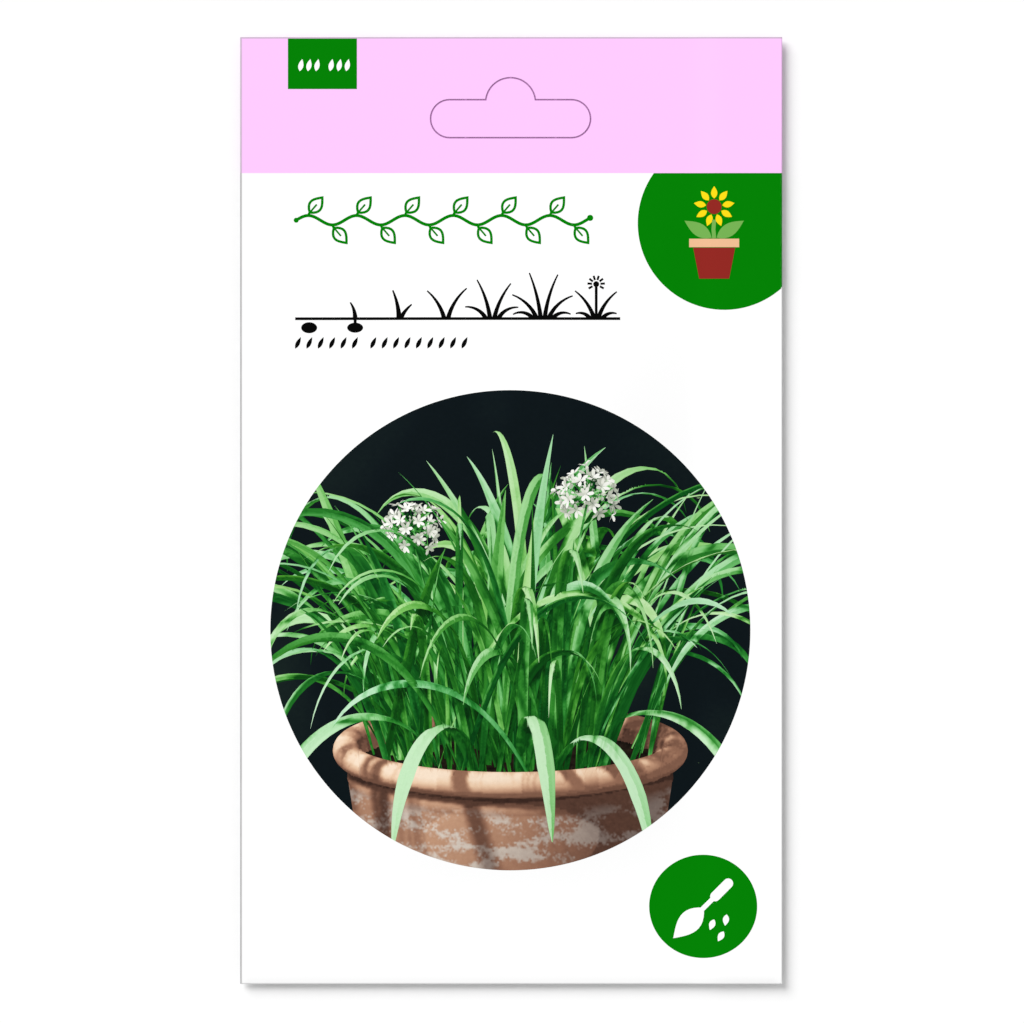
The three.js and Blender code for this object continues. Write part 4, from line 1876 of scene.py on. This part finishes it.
@dataclass
class PicturePlate:
    """Turns the scenery into a flat mesh whose edges follow every visible outline, with a colour at each corner."""

    scenery: Scenery
    radius: float = 48.0
    pitch: float = 0.375
    rim_sides: int = 256
    speck: float = 0.4
    sun: Vector = field(default_factory=lambda: Vector((-0.44, 0.63, 0.64)).normalized())
    tree: BVHTree = field(init=False)

    def __post_init__(self) -> None:
        """Readies the scenery for looking."""
        self.tree = BVHTree.FromPolygons(self.scenery.points, self.scenery.patches)

    def look(self, x: float, y: float) -> int:
        """The patch seen at that place, or -1."""
        hit = self.tree.ray_cast(Vector((x, y, 300)), Vector((0, 0, -1)))
        return -1 if hit[0] is None else hit[2]

    def shows(self, owner: int, a: Vector, b: Vector, inner: Vector) -> bool:
        """Whether the viewer sees a thing somewhere along a line.

        Args:
            owner: The thing.
            a: The line's start.
            b: Its end.
            inner: A point just inside the thing.

        Returns:
            Whether it shows.
        """
        for share in (0.03, 0.35, 0.65, 0.97):
            q = a.lerp(b, share).lerp(inner, 0.03)
            patch = self.look(q.x, q.y)
            if patch >= 0 and self.scenery.owners[patch] == owner:
                return True
        return False

    def clipped(self, inside: Vector, end: Vector) -> Vector:
        """Brings the end of a line back inside the disc.

        Args:
            inside: The line's other end.
            end: The end.

        Returns:
            The end, or where the line leaves the disc.
        """
        limit = self.radius - 0.02
        if math.hypot(end.x, end.y) <= limit:
            return end
        low, high = 0.0, 1.0
        for _ in range(24):
            middle = (low + high) / 2
            p = inside.lerp(end, middle)
            low, high = (middle, high) if math.hypot(p.x, p.y) < limit else (low, middle)
        return inside.lerp(end, low)

    def triangulate(self) -> tuple[np.ndarray, np.ndarray]:
        """Triangulates the disc round the visible outlines.

        Returns:
            The mesh's points, two columns, and the corners of its triangles, three columns.
        """
        radius = self.radius
        index: dict[Point, int] = {}
        edges: list[tuple[int, int]] = []

        def add(x: float, y: float) -> int:
            """The number of the point there, which is added if it is new."""
            return index.setdefault((round(x, 4), round(y, 4)), len(index))

        for owner, a, b, inner in self.scenery.outlines:
            if min(math.hypot(a.x, a.y), math.hypot(b.x, b.y)) > radius - 0.05 or not self.shows(owner, a, b, inner):
                continue
            start, end = self.clipped(b, a), self.clipped(a, b)
            edge = add(start.x, start.y), add(end.x, end.y)
            if edge[0] != edge[1]:
                edges.append(edge)
        ring = [add(*around(0, 0, radius, 2 * math.pi * k / self.rim_sides)) for k in range(self.rim_sides)]
        edges += list(zip(ring, ring[1:] + ring[:1]))
        rows = int(2 * radius / (self.pitch * math.sqrt(3) / 2))
        columns = int(2 * radius / self.pitch)
        for row in range(rows):
            y = -radius + row * self.pitch * math.sqrt(3) / 2
            for column in range(columns):
                x = -radius + (column + row % 2 / 2) * self.pitch
                if math.hypot(x, y) < radius - self.pitch * 0.6:
                    add(x, y)
        made = delaunay_2d_cdt([Vector(place) for place in index], edges, [], 0, 1e-5, False)
        return np.array([tuple(p) for p in made[0]]), np.array([f for f in made[2] if len(f) == 3])

    def without_specks(self, flat: np.ndarray, triangles: np.ndarray, under: np.ndarray) -> np.ndarray:
        """Leaves out the spots on the dark ground that are too small to read as a leaf.

        Args:
            flat: The mesh's points.
            triangles: The corners of its triangles.
            under: The patch seen in each triangle, or -1.

        Returns:
            The patch seen in each triangle, with -1 in those spots.
        """
        parent = list(range(len(flat)))

        def root(k: int) -> int:
            """Finds the corner that stands for a whole spot.

            Args:
                k: A corner in the spot.

            Returns:
                That corner.
            """
            while parent[k] != k:
                parent[k] = parent[parent[k]]
                k = parent[k]
            return k

        lit = np.flatnonzero(under >= 0)
        for a, b, c in triangles[lit].tolist():
            parent[root(a)] = parent[root(b)] = root(c)
        spots = np.array([root(k) for k in triangles[:, 0].tolist()])
        sides = flat[triangles[:, 1:]] - flat[triangles[:, :1]]
        areas = abs(cross(sides[:, 0], sides[:, 1])) / 2
        sizes = np.bincount(spots[lit], areas[lit], len(flat))
        return np.where(sizes[spots] < self.speck, -1, under)

    def identify(self, flat: np.ndarray, triangles: np.ndarray) -> tuple[Seen, np.ndarray]:
        """Finds what each corner of each triangle shows.

        Args:
            flat: The mesh's points.
            triangles: The corners of its triangles.

        Returns:
            What is seen, without its light, and the row in it of each triangle's corners.
        """
        scenery = self.scenery
        under = np.array([self.look(x, y) for x, y in flat[triangles].mean(axis=1)])
        under = self.without_specks(flat, triangles, under)
        own = np.array([self.look(x, y) for x, y in flat])
        owners = np.array([*scenery.owners, -1])
        vertex, patch = triangles.ravel(), np.repeat(under, 3)
        patch = np.where(owners[own][vertex] == owners[patch], own[vertex], patch)
        keys = vertex.astype(np.int64) * (len(scenery.patches) + 1) + patch + 1
        _, first, back = np.unique(keys, return_index=True, return_inverse=True)
        vertex, patch = vertex[first], patch[first]
        at, owner = flat[vertex], owners[patch]
        quads = [[p[len(p) * j // 4] for j in range(4)] for p in scenery.patches] + [[0] * 4]
        corners = np.array(quads)[patch]
        points = np.array([tuple(p) for p in scenery.points])[corners]
        u_axis = (points[:, 1] - points[:, 0] + points[:, 2] - points[:, 3]) / 2
        v_axis = (points[:, 3] - points[:, 0] + points[:, 2] - points[:, 1]) / 2
        middle = points.mean(axis=1)
        off = at - middle[:, :2]
        area = cross(u_axis, v_axis)
        area = np.where(abs(area) < 1e-7, 1e-7, area)
        u, v = (np.clip(part / area, -0.75, 0.75)[:, None] for part in (cross(off, v_axis), cross(u_axis, off)))
        space = middle + u * u_axis + v * v_axis
        space[:, :2] = at
        weights = ((0.5 - u) * (0.5 - v), (0.5 + u) * (0.5 - v), (0.5 + u) * (0.5 + v), (0.5 - u) * (0.5 + v))

        def blend(values: Sequence) -> np.ndarray:
            """The corners' values, mixed by how near each corner is."""
            held = np.array([tuple(value) for value in values])[corners]
            return sum(weight * held[:, j] for j, weight in enumerate(weights))

        normal = blend(scenery.normals)
        normal /= np.maximum(np.linalg.norm(normal, axis=1, keepdims=True), 1e-9)
        kind = np.array([*[k.value for k in scenery.kinds], Matter.DARK.value])[owner]
        tint = np.array([*scenery.tints, (0.5, 1.0)])[owner]
        light = np.ones(len(at))
        facing = normal @ np.array(self.sun)
        return Seen(at, space, normal, blend(scenery.marks), kind, tint, facing, light, light.copy()), back

    def light(self, seen: Seen) -> None:
        """Casts rays from every seen corner to the sun and to the open sky.

        Args:
            seen: What is seen, which gets its light.
        """
        draw = random.Random(3)
        suns = [self.sun + Vector((draw.gauss(0, 0.022), draw.gauss(0, 0.022), draw.gauss(0, 0.022))) for _ in range(3)]
        skies = [Vector(way).normalized() for way in ((0, 1, 0.25), (-0.75, 0.4, 0.55), (0.75, 0.4, 0.55), (0, 0.2, 1))]

        def open_share(start: Vector, ways: Sequence[Vector], reach: float) -> float:
            """The share of these ways that meet nothing within reach."""
            free = [self.tree.ray_cast(start + way * 0.42, way, reach)[0] is None for way in ways]
            return sum(free) / len(free)

        for k in np.flatnonzero(seen.kind != Matter.DARK.value):
            at, normal = Vector(seen.space[k]), Vector(seen.normal[k])
            seen.sun[k] = open_share(at + normal * (0.25 if seen.facing[k] >= 0 else -0.25), suns, 120)
            seen.sky[k] = open_share(at + normal * 0.3, skies, 16)

    @staticmethod
    def softened(values: np.ndarray, triangles: np.ndarray) -> np.ndarray:
        """Spreads each corner's value over the triangles that share it.

        Args:
            values: The corners' values.
            triangles: The corners of each triangle.

        Returns:
            The spread values.
        """
        total, count = np.zeros(len(values)), np.zeros(len(values))
        mean = values[triangles].mean(axis=1)
        for j in range(3):
            np.add.at(total, triangles[:, j], mean)
            np.add.at(count, triangles[:, j], 1)
        return total / np.maximum(count, 1)

    def print_off(self) -> tuple[np.ndarray, np.ndarray, np.ndarray]:
        """Makes the plate.

        Returns:
            The flat points, the triangles, and the colour of each triangle's corners in turn.
        """
        flat, triangles = self.triangulate()
        seen, back = self.identify(flat, triangles)
        self.light(seen)
        seen.sun = self.softened(seen.sun, back.reshape(-1, 3))
        return flat, triangles, PictureTones().mix(seen)[back.ravel()]


@dataclass
class RoundPicture:
    """The round picture, laid on the front as a thin closed film."""

    packet: Packet
    x: float = -0.17
    y: float = -23.92
    radius: float = 48.0

    def lay(self) -> None:
        """Prints the picture and drapes it over the front."""
        flat, top, colours = PicturePlate(PottedClump().compose(), self.radius).print_off()
        ring = [k for k, (x, y) in enumerate(flat) if math.hypot(x, y) > self.radius - 0.005]
        ring.sort(key=lambda k: math.atan2(flat[k][1], flat[k][0]))
        places = [Vector(flat[k]) for k in ring]
        around = [(k, (k + 1) % len(ring)) for k in range(len(ring))]
        steps = [-self.radius + 2.4 * k for k in range(int(self.radius / 1.2))]
        places += [Vector((x, y)) for x in steps for y in steps if math.hypot(x, y) < self.radius - 1.5]
        under = delaunay_2d_cdt(places, around, [], 0, 1e-5, False)
        count = len(flat)
        faces = [tuple(int(k) for k in face) for face in top]
        faces += [tuple(count + k for k in reversed(face)) for face in under[2]]
        faces += [(ring[k], count + k, count + n, ring[n]) for k, n in around]
        sides = [(x, y, INK_RISE) for x, y in flat] + [(p.x, p.y, -INK_SINK) for p in under[0]]
        half = self.packet.paper / 2
        corners = []
        for x, y, over in sides:
            at = (x + self.x, y + self.y)
            corners.append(Vector((*at, self.packet.front(*at) + half + over)) * MM)
        mesh = bpy.data.meshes.new("round_picture")
        mesh.from_pydata(corners, [], faces)
        ink = PictureInk()
        layer = mesh.color_attributes.new(ink.layer, "FLOAT_COLOR", "CORNER")
        shades = np.ones((len(mesh.loops), 4), dtype=np.float32)
        shades[:, :3] = colours.mean(axis=0)
        shades[: len(colours), :3] = colours
        layer.data.foreach_set("color", shades.ravel())
        mesh.materials.append(ink.make())
        piece = bpy.data.objects.new("round_picture", mesh)
        bpy.context.collection.objects.link(piece)
        Bench.hand_over(Bench.clean(piece, 0.0003))


@dataclass
class BackPrint(PanelPrint):
    """The plain print on the back: a year of cells, grey lines where words would be, and small signs."""

    side: Side = Side.BACK
    left: float = -42.0
    right: float = 42.0
    seed: int = 7

    def year(self) -> None:
        """Two rows of twelve cells, some of them filled."""
        cell = (self.right - self.left) / 12
        lines = self.film("back_year_lines", Ink.GREY)
        for y in (37.0, 42.0, 47.0):
            lines.bar(self.left - 0.15, y - 0.15, self.right + 0.15, y + 0.15)
        for k in range(13):
            lines.bar(self.left + cell * k - 0.15, 36.9, self.left + cell * k + 0.15, 47.1)
        lines.lay()
        green = self.film("back_year_sowing", Ink.GREEN, 1)
        green.bar(self.left + 2 * cell + 0.7, 43.2, self.left + 5 * cell - 0.7, 45.8)
        green.bar(self.left + 5 * cell + 0.7, 38.2, self.left + 10 * cell - 0.7, 40.8)
        green.lay()

    def words(self) -> None:
        """Grey lines of uneven length, in three blocks."""
        draw = random.Random(self.seed)
        grey = self.film("back_lines", Ink.GREY)
        y = 30.0
        for lines in (4, 6, 4):
            for k in range(lines):
                last = k == lines - 1
                reach = draw.uniform(0.35, 0.6) if last else draw.uniform(0.92, 1.0)
                grey.bar(self.left, y - 0.9, self.left + (self.right - self.left) * reach, y)
                y -= 2.7
            y -= 3.0
        grey.lay()

    def signs(self) -> None:
        """Four green plates with a seed, a seedling, a sun and a drop in white."""
        places = [self.left + 6.0 + 24.0 * k for k in range(4)]
        y = -38.0
        plates = self.film("back_sign_plates", Ink.GREEN)
        for x in places:
            plates.disc(x, y, 6.0, sides=40)
        plates.lay()
        white = self.film("back_signs", Ink.WHITE, 1)
        white.petal(places[0] - 2.2, y - 2.6, 50, 6.6, 3.0)
        white.line([(places[1], y - 4.0), (places[1], y + 0.2)], 0.8)
        white.petal(places[1] + 0.3, y - 0.4, 42, 4.2, 2.0)
        white.petal(places[1] - 0.3, y - 0.4, 138, 4.2, 2.0)
        white.disc(places[2], y, 1.8, sides=24)
        white.rays(places[2], y, 2.6, 4.2, 0.7, [math.pi / 4 * k for k in range(8)])
        white.disc(places[3], y - 1.0, 2.2, sides=24)
        white.plate((places[3] - 2.0, y - 0.3), (places[3] + 2.0, y - 0.3), (places[3], y + 4.2))
        white.lay()

    def sowing(self) -> None:
        """Three seeds under the soil's line, with plain rulers for their depth and distance."""
        black = self.film("back_sowing_lines", Ink.BLACK)
        soil = [(x, -56.0 + 0.5 * math.sin(x / 3.1)) for x in np.linspace(self.left, self.right, 60)]
        black.line(soil, 0.55)
        for x in (-24.0, 0.0, 24.0):
            black.petal(x - 1.4, -63.9, 35, 3.4, 1.9)
        for x in (-24.0, 0.0):
            black.line([(x + 1.4, -67.6), (x + 22.6, -67.6)], 0.4)
            for end in (x + 1.4, x + 22.6):
                black.line([(end, -66.6), (end, -68.6)], 0.4)
        black.line([(33.0, -57.2), (33.0, -62.8)], 0.4)
        for y in (-57.2, -62.8):
            black.line([(32.0, y), (34.0, y)], 0.4)
        black.lay()

    def lay(self) -> None:
        """Lays every film of the back."""
        for part in (self.year, self.words, self.signs, self.sowing):
            part()


@dataclass
class Studio:
    """The floor, the light and the camera."""

    eye: Vector = field(default_factory=lambda: Vector((0.17, -0.16, 1301.7)))
    field_width: float = 204.8
    front_level: float = 1.7
    sensor: float = 36.0
    fill: float = 0.56
    key: float = 3.03
    key_from: Vector = field(default_factory=lambda: Vector((-0.60, 0.68, 0.67)))
    key_spread: float = 40.0

    def floor(self) -> None:
        """A wide pale floor under the packet."""
        Bench.clear()
        bpy.ops.mesh.primitive_plane_add(size=6, location=(0, 0, -0.00005))
        floor = bpy.context.object
        floor.name = "floor"
        floor.data.materials.append(FloorPaint().make())

    def light(self) -> None:
        """One wide soft key from the upper left, over an even fill."""
        world = bpy.data.worlds.new("studio")
        world.use_nodes = True
        sky = world.node_tree.nodes["Background"].inputs
        sky["Color"].default_value = (1, 1, 1, 1)
        sky["Strength"].default_value = self.fill
        bpy.context.scene.world = world
        Bench.clear()
        bpy.ops.object.light_add(type="SUN", location=(-0.5, 0.5, 1))
        key = bpy.context.object
        key.name = "key"
        key.data.energy = self.key
        key.data.angle = math.radians(self.key_spread)
        key.rotation_euler = self.key_from.normalized().to_track_quat("Z", "Y").to_euler()

    def camera(self) -> None:
        """The camera, straight over the packet."""
        Bench.clear()
        bpy.ops.object.camera_add(location=self.eye * MM)
        camera = bpy.context.object
        camera.name = "camera"
        camera.rotation_euler = (0, 0, 0)
        camera.data.sensor_width = self.sensor
        camera.data.lens = self.sensor * (self.eye.z - self.front_level) / self.field_width
        camera.data.clip_end = 20
        camera.data.dof.use_dof = False
        bpy.context.scene.camera = camera

    def set_up(self) -> None:
        """Sets up the whole studio."""
        bpy.context.scene.view_settings.view_transform = "Standard"
        self.floor()
        self.light()
        self.camera()


@dataclass
class Contents:
    """The pieces inside, which keep their solids and get their finishes."""

    def dress(self) -> None:
        """Gives each of them its material."""
        finishes = {
            DriedGlue(): ("side_seam_glue", "header_glue", "bottom_flap_glue"),
            BarrierFilm(): ("sachet_back_film", "sachet_front_film"),
            SeedCoat(): ("seeds",),
        }
        for finish, nodes in finishes.items():
            material = finish.make()
            for node in nodes:
                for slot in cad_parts[node].material_slots:
                    slot.material = material
                LOG.info("%s: %s", node, finish.name)


def main() -> None:
    """Builds the studio, the sheet, its print and what is inside."""
    logging.basicConfig(level=logging.INFO, format="%(name)s: %(message)s")
    packet = Packet()
    Studio().set_up()
    FoldedSheet(packet, HangSlot()).build()
    FrontPrint(packet).lay()
    RoundPicture(packet).lay()
    BackPrint(packet).lay()
    Contents().dress()


if __name__ == "__main__":
    main()
